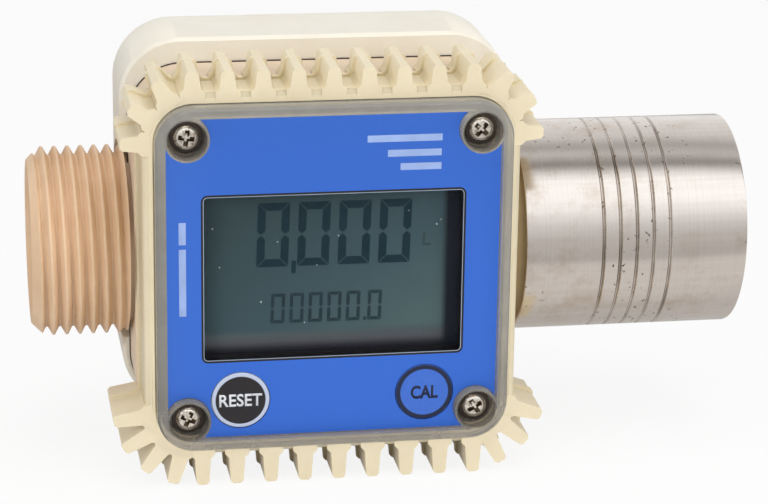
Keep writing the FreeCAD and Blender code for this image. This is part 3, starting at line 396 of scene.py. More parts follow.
def label_blue():
    """Printed film: a blue field, a little darker at the top and lighter at its left edge."""
    material = Material("label_blue", (0.045, 0.14, 0.57), roughness=0.42, specular_ior_level=0.3)
    pale = (0.060, 0.170, 0.62)
    pale_width = 9 * MM
    height = material.span(material.axis("Z"), label_low.z, label_high.z)
    field = material.ramp(height, ((0.0, (0.034, 0.140, 0.61)), (0.5, (0.034, 0.140, 0.60)),
                                   (1.0, (0.035, 0.130, 0.54))))
    across = material.span(material.axis("X"), label_low.x + pale_width, label_low.x)
    field = material.mix(material.product(across, 0.35), field, pale)
    dots = material.noise(2600, 2, 0.5)
    material.color(material.mix(material.ramp(dots, ((0.35, 0.0), (0.75, 0.10))), field, pale))
    material.roughness(material.span(material.noise(200, 3), 0.3, 0.7, 0.36, 0.48))
    material.bump(dots, 0.12, 0.01 * MM)
    return material.data


def lcd_face():
    """Reflective display glass, darker where the frame's walls shade it to the right and below, with a
    painted reflection lighter towards the lower right.
    """
    material = Material("lcd_face", (0.05, 0.07, 0.07), roughness=0.4, specular_ior_level=0.1)
    across = material.span(material.axis("X"), lcd_low.x, lcd_high.x)
    down = material.span(material.axis("Z"), lcd_high.z, lcd_low.z)
    # Painted reflection: the tint gets lighter towards the lower right.
    corner = material.math("MULTIPLY", material.math("ADD", across, down), 0.5)
    tint = material.ramp(corner, ((0.15, (0.036, 0.062, 0.070)), (0.55, (0.050, 0.087, 0.104)),
                                  (0.9, (0.086, 0.134, 0.138))))
    cloud = material.ramp(material.noise(90, 3), ((0.3, 0.0), (0.7, 0.25)))
    tint = material.mix(cloud, tint, (0.050, 0.076, 0.080))
    # Painted shade of the frame's walls at the right and along the bottom.
    right = material.span(material.axis("X"), lcd_high.x - 3.9 * MM, lcd_high.x - 2.8 * MM)
    lower = material.span(material.axis("Z"), lcd_low.z + 5.0 * MM, lcd_low.z + 1.0 * MM)
    low_edge = material.ramp(lower, ((0.0, (0.062, 0.094, 0.106)), (0.30, (0.082, 0.101, 0.110)),
                                     (0.55, (0.086, 0.093, 0.104)), (0.74, (0.054, 0.056, 0.066)),
                                     (0.86, (0.030, 0.031, 0.040)), (1.0, (0.016, 0.016, 0.023))))
    shaded = material.math("MULTIPLY", lower, 4.0, clamp=True)
    lit = material.mix(shaded, tint, low_edge)
    material.color(material.mix(right, lit, (0.016, 0.020, 0.028)))
    return material.data


def key_face(name, disc, ring, inner, outer, middle_x):
    """Round key cap printed with a ring."""
    edge = 0.06 * MM
    material = Material(name, disc, roughness=0.4, specular_ior_level=0.3)
    radius = material.length(material.off_axis("X", middle_x), material.off_axis("Z", KEY_Z))
    in_ring = material.product(material.span(radius, inner - edge, inner + edge),
                               material.span(radius, outer + edge, outer - edge))
    lighter = tuple(c * 1.08 + 0.002 for c in disc)
    grain = material.ramp(material.noise(1800, 2), ((0.3, disc), (0.7, lighter)))
    material.color(material.mix(in_ring, grain, ring))
    material.bump(material.noise(2400, 2), 0.12, 0.01 * MM)
    return material.data


# Housing cream, with painted shade between its ribs.
CREAM = moulded("cream_plastic", (0.84, 0.74, 0.53), (0.77, 0.67, 0.46), painted_shade=painted_rib_shade)
# The cover's cream, paler than the housing's: painted light for its bright top.
LIT_COVER_CREAM = moulded("lit_cover_plastic", (0.86, 0.82, 0.72), (0.81, 0.76, 0.65))
PINK = moulded("pink_plastic", (0.80, 0.66, 0.51), (0.73, 0.58, 0.42), roughness=0.5)
# The body's plastic on the threaded stubs, darker and more saturated: painted shade of the threads.
SHADED_TAN = moulded("shaded_tan_plastic", (0.78, 0.56, 0.375), (0.68, 0.455, 0.27), roughness=0.5)
BLACK = plain_grain("black_plastic", (0.012, 0.012, 0.014), 0.45)
RUBBER = plain_grain("rubber", (0.50, 0.48, 0.45), 0.6, grain=0.06 * MM)
OLIVE_RUBBER = plain_grain("olive_rubber", (0.32, 0.23, 0.11), 0.6, grain=0.06 * MM)
WHITE_PLASTIC = plain_grain("rotor_plastic", (0.75, 0.75, 0.72), 0.4)
VANE_PLASTIC = moulded("vane_plastic", (0.72, 0.70, 0.64), (0.62, 0.60, 0.54))
BRASS = plain_grain("brass", (0.70, 0.48, 0.18), 0.3, 1.0)
STEEL = plain_grain("steel", (0.62, 0.61, 0.60), 0.28, 1.0)
BOARD = plain_grain("board_green", (0.02, 0.16, 0.06), 0.4, variation=0.4, scale=900)
GREY_RUBBER = plain_grain("contact_rubber", (0.12, 0.12, 0.13), 0.6)
JACKET = plain_grain("battery_jacket", (0.03, 0.035, 0.04), 0.35)
PRINT_WHITE = plain_grain("print_white", (0.80, 0.82, 0.86), 0.5)
PRINT_PALE = plain_grain("print_pale", (0.34, 0.47, 0.80), 0.5)
PRINT_DARK = plain_grain("print_dark", (0.006, 0.012, 0.045), 0.5)
SEGMENT = plain_grain("lcd_segment", (0.014, 0.032, 0.044), 0.4, specular_ior_level=0.1)
SOFT_SEGMENT = plain_grain("lcd_soft_segment", (0.024, 0.044, 0.054), 0.4, specular_ior_level=0.1)
FAINT_SEGMENT = plain_grain("lcd_faint", (0.042, 0.068, 0.074), 0.4, specular_ior_level=0.1)
EDGE_HIGHLIGHT = plain_grain("edge_highlight", (0.42, 0.50, 0.62), 0.3)
DUST = plain_grain("dust", (0.70, 0.72, 0.70), 0.7)
SEAM_SHADOW = plain_grain("seam_shadow", (0.055, 0.035, 0.025), 0.6)
SCREW_METAL = screw_steel("screw_steel", (0.96, 0.91, 0.83), (0.42, 0.31, 0.21), 0.16, 0.32)
# Dark steel for the screws' recess walls: painted shade.
RECESS_SHADE_METAL = screw_steel("recess_shade_steel", (0.20, 0.15, 0.10), (0.07, 0.05, 0.035), 0.40, 0.60)
# Near black sealing rings under the screw heads: painted shadow of the counterbores.
WASHER_SHADOW_RUBBER = plain_grain("washer_shadow_rubber", (0.035, 0.024, 0.018), 0.5)
RESET_FACE = key_face("reset_face", (0.022, 0.019, 0.022), (0.52, 0.58, 0.72), 4.32 * MM, 6.0 * MM, RESET_X)
CAL_FACE = key_face("cal_face", (0.050, 0.150, 0.58), (0.016, 0.022, 0.052), 4.2 * MM, 4.95 * MM, CAL_X)


# ---- Building pieces ----
SQUARE = 0.99999              # cosine above which a face counts as square to an axis


def in_scene(name, data):
    made = bpy.data.objects.new(name, data)
    bpy.context.scene.collection.objects.link(made)
    return made


def new_piece(name, mesh, body, slot, *materials):
    piece = in_scene(name, mesh)
    for material in materials:
        mesh.materials.append(material)
    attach(piece, body)
    return piece


def shade(mesh, degrees=30):
    """Smooth curves with sharp edges kept; faces square to the axes stay flat."""
    mesh.shade_smooth()
    mesh.set_sharp_from_angle(angle=math.radians(degrees))
    for face in mesh.polygons:
        if max(abs(part) for part in face.normal) > SQUARE:
            face.use_smooth = False


def closed_mesh(name, work):
    """Mesh of a finished bmesh, with its faces turned outward."""
    bmesh.ops.recalc_face_normals(work, faces=work.faces)
    mesh = bpy.data.meshes.new(name)
    work.to_mesh(mesh)
    work.free()
    return mesh


def join_rows(work, rows):
    """Faces between each row of vertices and the next one."""
    for row, following in zip(rows, rows[1:]):
        for index in range(len(row)):
            beside = (index + 1) % len(row)
            work.faces.new((row[index], row[beside], following[beside], following[index]))


def closed_tube(name, rings):
    """Mesh from rings of equally many points, the last one joined to the first."""
    work = bmesh.new()
    rows = [[work.verts.new(point) for point in ring] for ring in rings]
    join_rows(work, rows + rows[:1])
    return closed_mesh(name, work)


def circle(radius, segments):
    """Points of a circle; the radius may be a function of the angle."""
    points = []
    for step in range(segments):
        angle = 2 * math.pi * step / segments
        reach = radius(angle) if callable(radius) else radius
        points.append((reach * math.cos(angle), reach * math.sin(angle)))
    return points


def lathe(profile, segments):
    """Closed mesh about the X axis from places along it and their radii."""
    return closed_tube("lathe", [[(x, y, z) for y, z in circle(radius, segments)] for x, radius in profile])


def refined(node, slot, material, bevel=0.0, sharp=28, trim=None):
    """Copy of a CAD node's mesh with merged flats and small rounded edges, standing for the node."""
    mesh = frame["nodes"][node].data.copy()
    mesh.name = node + "_fine"
    mesh.materials.clear()
    work = bmesh.new()
    work.from_mesh(mesh)
    bmesh.ops.remove_doubles(work, verts=work.verts, dist=WELD)
    if trim:
        trim(work)
    bmesh.ops.dissolve_limit(work, angle_limit=math.radians(0.5), verts=work.verts, edges=work.edges)
    if bevel:
        limit = math.radians(sharp)
        edges = [e for e in work.edges if len(e.link_faces) == 2 and e.calc_face_angle(0) > limit]
        bmesh.ops.bevel(work, geom=edges, offset=bevel, segments=2, profile=0.5,
                        affect="EDGES", clamp_overlap=True)
        bmesh.ops.remove_doubles(work, verts=work.verts, dist=WELD)
        bmesh.ops.dissolve_degenerate(work, dist=WELD, edges=work.edges)
    work.to_mesh(mesh)
    work.free()
    shade(mesh, sharp)
    piece = new_piece(node + "_fine", mesh, "meter", slot, material)
    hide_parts(node)


# ---- Turbine body with its threaded stubs ----
def thread_height(x, angle):
    """0 in the root, 1 on the crest, with flats rounded by the mesh."""
    phase = ((x - HEAD_X + THREAD_PHASE) / PITCH - angle / (2 * math.pi)) % 1.0
    away = 2 * abs(phase - 0.5)
    return min(1.0, max(0.0, (1 - away - THREAD_FLAT) / (1 - 2 * THREAD_FLAT)))


def threaded_stub(side):
    """Outside thread and bore of one stub; side -1 is the inlet."""
    start = THREAD_STARTS[side]
    end = (body_high.x - body_low.x) / 2
    chamfer_start = end - STUB_CHAMFER
    profile = []

    def outer(distance):
        limit = CREST_R - max(0.0, distance - chamfer_start)
        runout = min(1.0, (distance - start) / RUNOUT_LENGTH + RUNOUT_START)

        def radius(angle):
            height = thread_height(HEAD_X + side * distance, angle)
            return min(limit, CREST_R - THREAD_DEPTH * (1 - height) * runout)
        return radius

    count = round((end - start) / PITCH * STEPS_PER_TURN)
    for index in range(count + 1):
        distance = start + (end - start) * index / count
        profile.append((HEAD_X + side * distance, outer(distance)))
    profile.append((HEAD_X + side * end, BORE_R + MOUTH_CHAMFER))
    profile.append((HEAD_X + side * (end - MOUTH_CHAMFER), BORE_R))
    profile.append((HEAD_X + side * start, BORE_R))
    return lathe(profile, SEGMENTS)


def cut_off_stubs(work):
    """Cut the plain stubs off the body and close its tube again."""
    for side, start in THREAD_STARTS.items():
        geometry = work.verts[:] + work.edges[:] + work.faces[:]
        place = HEAD_X + side * (start - STUB_CUT)
        cut = bmesh.ops.bisect_plane(work, geom=geometry, plane_co=(place, 0, 0), plane_no=(side, 0, 0),
                                     clear_outer=True)
        loops = [part for part in cut["geom_cut"] if isinstance(part, bmesh.types.BMEdge)]
        bmesh.ops.bridge_loops(work, edges=loops)


refined("turbine_body", "body_plastic", PINK, 0.25 * MM, trim=cut_off_stubs)
for stub_name, stub_side in (("inlet_stub", -1), ("outlet_stub", 1)):
    stub_mesh = threaded_stub(stub_side)
    shade(stub_mesh, 50)
    new_piece(stub_name, stub_mesh, "meter", "body_plastic", SHADED_TAN)


# ---- Outlet socket with its grooves and inside thread ----
def outlet_socket():
    edge = ((0.0, SOCKET_CHAMFER), (0.15 * MM, 0.12 * MM), (SOCKET_CHAMFER, 0.0))
    profile = [(socket_low.x + inward, SOCKET_R - below) for inward, below in edge]
    for index in range(GROOVE_COUNT):
        middle = socket_low.x + GROOVE_FIRST + index * GROOVE_PITCH
        for offset, depth in GROOVE_PROFILE:
            profile.append((middle + offset * GROOVE_WIDTH / 2, SOCKET_R - GROOVE_DEPTH * depth))
    profile += [(socket_high.x - inward, SOCKET_R - below) for inward, below in reversed(edge)]
    profile.append((socket_high.x, MINOR_R + SOCKET_MOUTH))
    length = socket_high.x - SOCKET_STEP
    count = round(length / PITCH * STEPS_PER_TURN)

    def inner(x):
        mouth = MINOR_R + SOCKET_MOUTH - (socket_high.x - x)

        def radius(angle):
            return max(mouth, MINOR_R + THREAD_DEPTH * thread_height(x, angle) * 0.98)
        return radius

    for index in range(1, count + 1):
        x = socket_high.x - length * index / count
        profile.append((x, inner(x)))
    profile.append((SOCKET_STEP, CREST_R + STUB_GAP))
    profile.append((socket_low.x, CREST_R + STUB_GAP))
    return lathe(profile, 2 * SEGMENTS)


socket_mesh = outlet_socket()
shade(socket_mesh, 35)
socket_piece = new_piece("outlet_socket_fine", socket_mesh, "meter", "socket_steel", socket_steel())
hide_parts("outlet_socket")

# ---- Moulded covers and window ----
refined("front_housing", "housing_plastic", CREAM, 0.22 * MM)
refined("rear_cover", "housing_plastic", LIT_COVER_CREAM)
refined("window_cover", "window_clear", clear_plastic(), 0.12 * MM)


# ---- Screws: domed heads with a worn cross recess in painted shade, each on a sealing ring made near black as painted shadow ----
def capped(name, rings, tip=None):
    """Closed mesh from rings of equally many points with flat ends, or a fan to a tip at the first."""
    work = bmesh.new()
    rows = [[work.verts.new(point) for point in ring] for ring in rings]
    join_rows(work, rows)
    if tip is None:
        work.faces.new(rows[0])
    else:
        point = work.verts.new(tip)
        for index, vertex in enumerate(rows[0]):
            work.faces.new((vertex, rows[0][(index + 1) % len(rows[0])], point))
    work.faces.new(rows[-1])
    return closed_mesh(name, work)


def rings_about_y(profile):
    return [[(x, y, z) for x, z in circle(radius, SCREW_SEGMENTS)] for radius, y in profile]


def screw_blank(shank_length):
    """Head and shank about +Y, with the head's top at y = 0."""
    profile = [(SCREW_R * radius, SCREW_HEIGHT * depth) for radius, depth in SCREW_PROFILE]
    profile += [(SHANK_R, SCREW_HEIGHT), (SHANK_R, SCREW_HEIGHT + shank_length)]
    return capped("screw_blank", rings_about_y(profile), (0, 0, 0))


def recess_tool():
    """Tapered cross that cuts the driver's recess."""
    a, b = RECESS_REACH, RECESS_HALF_WIDTH
    outline = [(a, b), (b, b), (b, a), (-b, a), (-b, b), (-a, b), (-a, -b), (-b, -b), (-b, -a), (b, -a),
               (b, -b), (a, -b)]
    rings = []
    for y, scale in ((-TOOL_ABOVE, 1.08), (0.0, 1.0), (RECESS_DEPTH, RECESS_TAPER)):
        rings.append([(x * scale, y, z * scale) for x, z in outline])
    return capped("recess_tool", rings)


def washer():
    """Sealing ring under a screw's head, hugging the head's side, near black as painted shadow of the
    counterbore; it takes the third material.
    """
    top = SCREW_HEIGHT - WASHER_HEIGHT
    mesh = closed_tube("washer", rings_about_y((
        (SHANK_R, top), (WASHER_R - WASHER_BEVEL, top), (WASHER_R, top + WASHER_BEVEL),
        (WASHER_R, SCREW_HEIGHT), (SHANK_R, SCREW_HEIGHT))))
    for face in mesh.polygons:
        face.material_index = 2
    return mesh


def cross_screw(shank_length):
    """Screw mesh with its recess cut; the recess walls take the second material, a dark steel as painted
    shade.
    """
    blank = in_scene("screw_blank", screw_blank(shank_length))
    tool = in_scene("recess_tool", recess_tool())
    cut = blank.modifiers.new("cut", "BOOLEAN")
    cut.operation = "DIFFERENCE"
    cut.solver = "EXACT"
    cut.object = tool
    result = bpy.data.meshes.new_from_object(blank.evaluated_get(bpy.context.evaluated_depsgraph_get()))
    for piece in (blank, tool):
        bpy.data.objects.remove(piece)
    reach = RECESS_REACH * 1.02
    for face in result.polygons:
        x, y, z = face.center
        wall = abs(face.normal.y) < 0.75 and y < RECESS_DEPTH and math.hypot(x, z) < reach
        face.material_index = 1 if wall else 0
    return result


def screw_set(node, facing, turns):
    """Four screws where the node has them; facing is -1 for heads towards the reader."""
    low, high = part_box(node)
    shank_length = high.y - low.y - SCREW_HEIGHT
    top = low.y if facing < 0 else high.y
    about = Matrix.Rotation(0.0 if facing < 0 else math.pi, 4, "Z")
    places = [(x, z) for z in (high.z - SCREW_R, low.z + SCREW_R)
              for x in (low.x + SCREW_R, high.x - SCREW_R)]
    work = bmesh.new()
    for (x, z), turn in zip(places, turns):
        spin = about @ Matrix.Rotation(math.radians(turn), 4, "Y")
        for mesh in (cross_screw(shank_length), washer()):
            mesh.transform(Matrix.Translation((x, top, z)) @ spin)
            work.from_mesh(mesh)
            bpy.data.meshes.remove(mesh)
    mesh = bpy.data.meshes.new(node + "_fine")
    work.to_mesh(mesh)
    work.free()
    shade(mesh, 35)
    piece = new_piece(node + "_fine", mesh, "meter", "fastener_steel", SCREW_METAL, RECESS_SHADE_METAL,
                      WASHER_SHADOW_RUBBER)
    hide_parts(node)

screw_set("window_screws", -1, (8, 40, 24, 58))
screw_set("rear_cover_screws", 1, (15, 62, 33, 80))

# ---- CAD nodes whose shape stays ----
FINISHES = {
    "window_gasket": RUBBER, "flange_gasket": RUBBER, "face_label": label_blue(), "lcd_panel": lcd_face(),
    "lcd_frame": BLACK, "zebra_strips": GREY_RUBBER, "circuit_board": BOARD, "board_screws": STEEL,
    "controller_chip": BLACK, "timing_crystal": STEEL, "hall_sensor": BLACK, "reset_button": RESET_FACE,
    "reset_switch": BLACK, "reset_plunger": WHITE_PLASTIC, "cal_button": CAL_FACE, "cal_switch": BLACK,
    "cal_plunger": WHITE_PLASTIC, "battery_contacts": STEEL, "upper_battery": JACKET,
    "upper_battery_tray": BLACK, "lower_battery": JACKET, "lower_battery_tray": BLACK,
    "turbine_rotor": WHITE_PLASTIC, "rotor_shaft": STEEL, "rotor_magnets": STEEL, "inlet_bush": BRASS,
    "inlet_straightener": VANE_PLASTIC, "outlet_bush": BRASS, "outlet_straightener": VANE_PLASTIC,
    "retaining_rings": STEEL, "socket_seal": OLIVE_RUBBER,
}
for node_name, finish in FINISHES.items():
    node_mesh = frame["nodes"][node_name].data
    node_mesh.materials.clear()
    node_mesh.materials.append(finish)

# ---- Display digits ----
SEGMENTS_OF_ZERO = ("top", "bottom", "upper_left", "upper_right", "lower_left", "lower_right")
DIGIT_SLANT = 0.03


def segment_outline(kind, width, height, stroke):
    """Corner points of one bevelled seven-segment bar in a width by height cell."""
    gap = stroke * 0.06
    half_height = height / 2
    if kind == "top":
        return [(gap, height), (width - gap, height), (width - stroke - gap, height - stroke),
                (stroke + gap, height - stroke)]
    if kind == "bottom":
        return [(stroke + gap, stroke), (width - stroke - gap, stroke), (width - gap, 0), (gap, 0)]
    upright = [(0, height - gap), (stroke, height - stroke - gap), (stroke, half_height + stroke * 0.5 + gap),
               (stroke * 0.5, half_height + gap), (0, half_height + stroke * 0.4 + gap)]
    points = upright if kind.startswith("upper") else [(x, height - z) for x, z in upright]
    return points if kind.endswith("left") else [(width - x, z) for x, z in points]


def flat_piece(name, outlines, y, material, slot, slant=0.0):
    """Thin printed shapes on a plane facing -Y, as closed plates."""
    work = bmesh.new()
    for outline in outlines:
        front = [work.verts.new((x + slant * z, y - PRINT_THICKNESS, z)) for x, z in outline]
        back = [work.verts.new((x + slant * z, y, z)) for x, z in outline]
        work.faces.new(front)
        work.faces.new(back[::-1])
        join_rows(work, [front, back])
    new_piece(name, closed_mesh(name, work), "meter", slot, material)


def zeros(left, bottom, width, height, stroke, pitches):
    """Outlines of a row of zeros; a pitch runs from each digit to the next one."""
    outlines = []
    for pitch in pitches:
        for kind in SEGMENTS_OF_ZERO:
            outline = segment_outline(kind, width, height, stroke)
            outlines.append([(left + x, bottom + z) for x, z in outline])
        left += pitch
    return outlines


def rectangle(left, bottom, width, height):
    right = left + width
    top = bottom + height
    return [(left, bottom), (left, top), (right, top), (right, bottom)]


BIG_LEFT = HEAD_X - 13.0 * MM
BIG_BOTTOM = 0.95 * MM
big = zeros(BIG_LEFT, BIG_BOTTOM, width=5.5 * MM, height=11.4 * MM, stroke=1.4 * MM,
            pitches=[7.0 * MM] * 4)
big.append(rectangle(BIG_LEFT + 6.05 * MM, BIG_BOTTOM - 1.3 * MM, 0.8 * MM, 2.3 * MM))
flat_piece("lcd_total_digits", big, LCD_Y, SEGMENT, "lcd_glass", DIGIT_SLANT)

SMALL_LEFT = HEAD_X - 10.25 * MM
SMALL_BOTTOM = -9.3 * MM
small = zeros(SMALL_LEFT, SMALL_BOTTOM, width=2.45 * MM, height=5.4 * MM, stroke=0.6 * MM,
              pitches=[3.26 * MM] * 4 + [3.75 * MM, 0])
small.append(rectangle(SMALL_LEFT + 16.15 * MM, SMALL_BOTTOM, 0.5 * MM, 0.6 * MM))
flat_piece("lcd_batch_digits", small, LCD_Y, SOFT_SEGMENT, "lcd_glass", DIGIT_SLANT)

UNIT_BOTTOM = 3.8 * MM
UNIT_STROKE = 0.45 * MM
unit = [rectangle(HEAD_X + 15.6 * MM, UNIT_BOTTOM, UNIT_STROKE, 2.4 * MM),
        rectangle(HEAD_X + 16.05 * MM, UNIT_BOTTOM, 1.05 * MM, UNIT_STROKE)]
flat_piece("lcd_unit_mark", unit, LCD_Y, FAINT_SEGMENT, "lcd_glass", DIGIT_SLANT)


# ---- Lettering on the keys and plain bars on the label ----
def lettering(name, word, x, width, height, material, key, bold):
    """A key's word, scaled to a box in the middle of its face."""
    curve = bpy.data.curves.new(name, "FONT")
    curve.body = word
    curve.align_x = "CENTER"
    curve.align_y = "CENTER"
    curve.offset = bold
    curve.resolution_u = 4
    text = in_scene(name + "_text", curve)
    bpy.context.view_layer.update()
    mesh = bpy.data.meshes.new_from_object(text)
    bpy.data.objects.remove(text)
    xs = [v.co.x for v in mesh.vertices]
    ys = [v.co.y for v in mesh.vertices]
    scale_x = width / (max(xs) - min(xs))
    scale_z = height / (max(ys) - min(ys))
    middle_x = (max(xs) + min(xs)) / 2
    middle_y = (max(ys) + min(ys)) / 2
    for vertex in mesh.vertices:
        px, py = vertex.co.x, vertex.co.y
        vertex.co = Vector((x + (px - middle_x) * scale_x, KEY_Y, KEY_Z + (py - middle_y) * scale_z))
    work = bmesh.new()
    work.from_mesh(mesh)
    bmesh.ops.remove_doubles(work, verts=work.verts, dist=WELD / 10)
    grown = bmesh.ops.extrude_face_region(work, geom=work.faces[:])
    bmesh.ops.translate(work, vec=(0, -PRINT_THICKNESS, 0),
                        verts=[g for g in grown["geom"] if isinstance(g, bmesh.types.BMVert)])
    new_piece(name, closed_mesh(name, work), key, key, material)


lettering("reset_lettering", "RESET", RESET_X, 7.4 * MM, 2.3 * MM, PRINT_WHITE, "reset_key", 0.02)
lettering("cal_lettering", "CAL", CAL_X, 4.75 * MM, 2.45 * MM, PRINT_DARK, "cal_key", 0.03)

# Plain bars in place of words, three lines at the top right and one upright line in two at the left:
# left, right, bottom and top from the label's middle, in mm.
LABEL_BARS = ((5.5, 18.3, 23.3, 24.5), (9.0, 18.2, 20.7, 21.9), (11.2, 18.2, 18.3, 19.5),
              (-26.4, -25.2, 6.4, 10.3), (-26.4, -25.2, -6.3, 5.6))
bars = [rectangle(HEAD_X + left * MM, low * MM, (right - left) * MM, (high - low) * MM)
        for left, right, low, high in LABEL_BARS]
flat_piece("label_bars", bars, LABEL_Y, PRINT_PALE, "label_blue")


def rounded_loop(low_x, high_x, low_z, high_z, radius, steps=6):
    """Corner points of a rounded rectangle."""
    points = []
    centres = ((high_x - radius, high_z - radius), (low_x + radius, high_z - radius),
               (low_x + radius, low_z + radius), (high_x - radius, low_z + radius))
    for quarter, (x, z) in enumerate(centres):
        for step in range(steps + 1):
            angle = math.pi / 2 * (quarter + step / steps)
            points.append((x + radius * math.cos(angle), z + radius * math.sin(angle)))
    return points


def ring_plate(name, outside, inside, y, depth, material, slot):
    """Closed ring between two loops of equally many points, from y forward by depth."""
    rings = [[(x, place, z) for x, z in loop]
             for loop, place in ((outside, y), (outside, y - depth), (inside, y - depth), (inside, y))]
    new_piece(name, closed_tube(name, rings), "meter", slot, material)


# ---- The label's opening with its black border and a painted highlight on its cut edge, dust, and a painted shadow in the cover's seam ----
def view_loop(extra):
    return rounded_loop(HEAD_X - VIEW_HALF_X - extra, HEAD_X + VIEW_HALF_X + extra, -VIEW_HALF_Z - extra,
                        VIEW_HALF_Z + extra, VIEW_CORNER_R + extra)


def flange_loop(extra):
    return rounded_loop(HEAD_X - FLANGE_HALF_X - extra, HEAD_X + FLANGE_HALF_X + extra,
                        body_low.z - extra, body_high.z + extra, FLANGE_CORNER_R + extra, 12)


ring_plate("display_border", view_loop(BORDER_WIDTH), view_loop(0.0), LABEL_Y, PRINT_THICKNESS, BLACK,
           "label_blue")
# Painted highlight on the label's cut edge round the opening.
ring_plate("display_edge_highlight", view_loop(0.0), view_loop(-EDGE_HIGHLIGHT_WIDTH), LABEL_Y + EDGE_HIGHLIGHT_DEPTH,
           EDGE_HIGHLIGHT_DEPTH, EDGE_HIGHLIGHT, "label_blue")

# Specks of dust on the display glass: x and z from its middle, and size, in mm.
SPECKS = ((-20.4, 8.1, 0.16), (-19.2, 1.2, 0.14), (-12.1, -5.3, 0.17), (-4.6, -9.3, 0.13), (-9.3, 5.4, 0.13),
          (18.2, 7.6, 0.17), (18.9, 8.4, 0.12), (13.3, 10.2, 0.11), (1.2, 6.1, 0.12), (-2.5, 1.0, 0.10))


def speck_outline(number, x, z, size):
    """Uneven six-cornered speck, a different one for each number."""
    corners = []
    for corner in range(6):
        angle = math.pi / 3 * corner + number
        reach = size * (0.55 + 0.45 * math.sin(2.3 * corner + number) ** 2)
        corners.append((HEAD_X + (x + reach * math.cos(angle)) * MM, (z + reach * math.sin(angle)) * MM))
    return corners


specks = [speck_outline(number, *speck) for number, speck in enumerate(SPECKS)]
flat_piece("display_dust", specks, LCD_Y - PRINT_THICKNESS, DUST, "lcd_glass")
# Dark ring in the gap between the rear cover and the flange: painted shadow.
ring_plate("cover_seam_shadow", flange_loop(SEAM_WIDTH), flange_loop(-PRINT_THICKNESS), cover_low.y, SEAM_HEIGHT,
           SEAM_SHADOW, "housing_plastic")

# ---- Floor, lights and camera ----
# degrees up from the reader's side, over the top to the back, and how bright mirrors see it there
STUDIO_WALLS = ((0, 0.63), (6, 0.70), (14, 0.80), (25, 1.02), (33, 1.26), (60, 1.36), (67, 1.18),
                (73, 0.84), (80, 0.25), (87, 0.36), (94, 0.74), (101, 0.57), (108, 0.42), (117, 0.68),
                (126, 0.78), (145, 0.88), (160, 0.94), (180, 0.96))
AMBIENT = 0.31
# distance in front of the pipe's axis in mm, and how bright mirrors see the floor there
MIRRORED_FLOOR = ((420, 0.575), (208, 0.545), (138, 0.49), (106, 0.44), (96, 0.46), (83, 0.66), (57, 0.72),
                  (34, 0.69), (23, 0.63), (12, 0.56), (0, 0.55))
FLOOR_REACH = 6.0
FLOOR_GAP = 0.05 * MM
# place, size and power of each softbox, in metres and watts
SOFTBOXES = {
    "top_light": ((0.05, -0.15, 0.7), (0.6, 0.5), 2.8),
    "left_light": ((-0.55, -0.6, 0.35), (0.4, 0.5), 2.35),
    "right_light": ((0.6, -0.55, 0.25), (0.35, 0.5), 2.45),
}
HEAD_MIDDLE = Vector((HEAD_X, 0, 0))
CAMERA_PLACE = HEAD_MIDDLE + Vector((-67.05, -468.8, 150.2)) * MM
CAMERA_TARGET = HEAD_MIDDLE + Vector((12.88, 0, -4.46)) * MM
CAMERA_UP = Vector((0.037, 0.3073, 0.9509))
CAMERA_LENS = 130.33


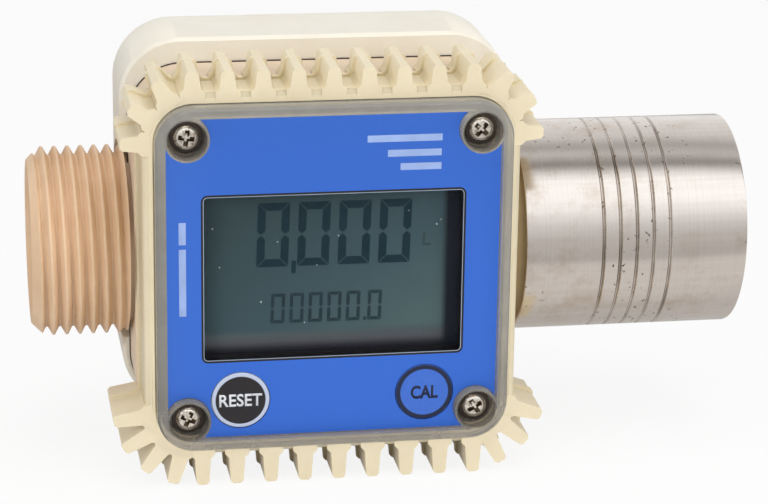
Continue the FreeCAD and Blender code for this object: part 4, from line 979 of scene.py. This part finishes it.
def floor():
    """Floor that takes the shadow near the object and turns white further away."""
    reach = FLOOR_REACH
    z = head_low.z - FLOOR_GAP
    corners = [(-reach, -reach, z), (reach, -reach, z), (reach, reach, z), (-reach, reach, z)]
    mesh = bpy.data.meshes.new("floor")
    mesh.from_pydata(corners, [], [(0, 1, 2, 3)])
    material = Material("floor_white", (0.9, 0.9, 0.9), roughness=0.8)
    material.bump(material.noise(40, 2), 0.02, 0.1 * MM)
    path = material.node("LightPath").outputs
    glow = material.node("Emission")
    reach_seen = MIRRORED_FLOOR[0][0]
    steps = [(1 - away / reach_seen, (level, level * 0.96, level * 0.92)) for away, level in MIRRORED_FLOOR]
    mirrored = material.ramp(material.span(material.axis("Y"), -reach_seen * MM, 0.0), steps)
    material.link(material.mix(path["Is Glossy Ray"], (1.0, 1.0, 1.0), mirrored), glow.inputs["Color"])
    seen = material.math("MAXIMUM", path["Is Camera Ray"], path["Is Glossy Ray"])
    seen = material.math("MAXIMUM", seen, path["Is Transmission Ray"])
    away = material.node("VectorMath", operation="LENGTH")
    material.link(material.coords, away.inputs[0])
    white = material.span(away.outputs["Value"], 0.25, 1.2, 0.88, 1.0)
    material.blend_surface(material.product(seen, white), glow.outputs[0])
    mesh.materials.append(material.data)
    in_scene("floor", mesh)


def world():
    """Even light; mirrors see a studio with a darker gap overhead between its two pale walls."""
    data = bpy.data.worlds.new("studio")
    bpy.context.scene.world = data
    data.use_nodes = True
    nodes = Nodes(data.node_tree, "Generated")
    forward = nodes.product(nodes.axis("Y"), -1.0)
    turn = nodes.math("ARCTAN2", nodes.axis("Z"), forward)
    steps = [(degrees / 180, (level, level ** 1.03, level ** 1.06)) for degrees, level in STUDIO_WALLS]
    walls = nodes.ramp(nodes.span(turn, 0.0, math.pi), steps)
    path = nodes.node("LightPath").outputs
    lit = nodes.mix(path["Is Glossy Ray"], (AMBIENT, AMBIENT, AMBIENT), walls)
    seen = nodes.math("MAXIMUM", path["Is Camera Ray"], path["Is Transmission Ray"])
    background = data.node_tree.nodes["Background"]
    nodes.link(nodes.mix(seen, lit, (1.0, 1.0, 1.0)), background.inputs["Color"])
    background.inputs["Strength"].default_value = 1.0


def softbox(name, place, size, power):
    """Area lamp aimed at the head's middle, left out of reflections."""
    data = bpy.data.lights.new(name, "AREA")
    data.shape = "RECTANGLE"
    data.size, data.size_y = size
    data.energy = power
    lamp = in_scene(name, data)
    lamp.location = place
    lamp.rotation_euler = (HEAD_MIDDLE - Vector(place)).to_track_quat("-Z", "Y").to_euler()
    lamp.visible_glossy = False


def camera():
    forward = (CAMERA_TARGET - CAMERA_PLACE).normalized()
    right = forward.cross(CAMERA_UP).normalized()
    up = right.cross(forward)
    data = bpy.data.cameras.new("camera")
    data.lens = CAMERA_LENS
    data.sensor_width = 36.0
    data.clip_start = 0.01
    data.clip_end = 50
    rig = in_scene("camera", data)
    basis = Matrix((right, up, -forward)).transposed()
    rig.matrix_world = Matrix.Translation(CAMERA_PLACE) @ basis.to_4x4()
    bpy.context.scene.camera = rig


floor()
world()
for lamp_name, lamp_settings in SOFTBOXES.items():
    softbox(lamp_name, *lamp_settings)
camera()
bpy.context.scene.view_settings.view_transform = "Standard"
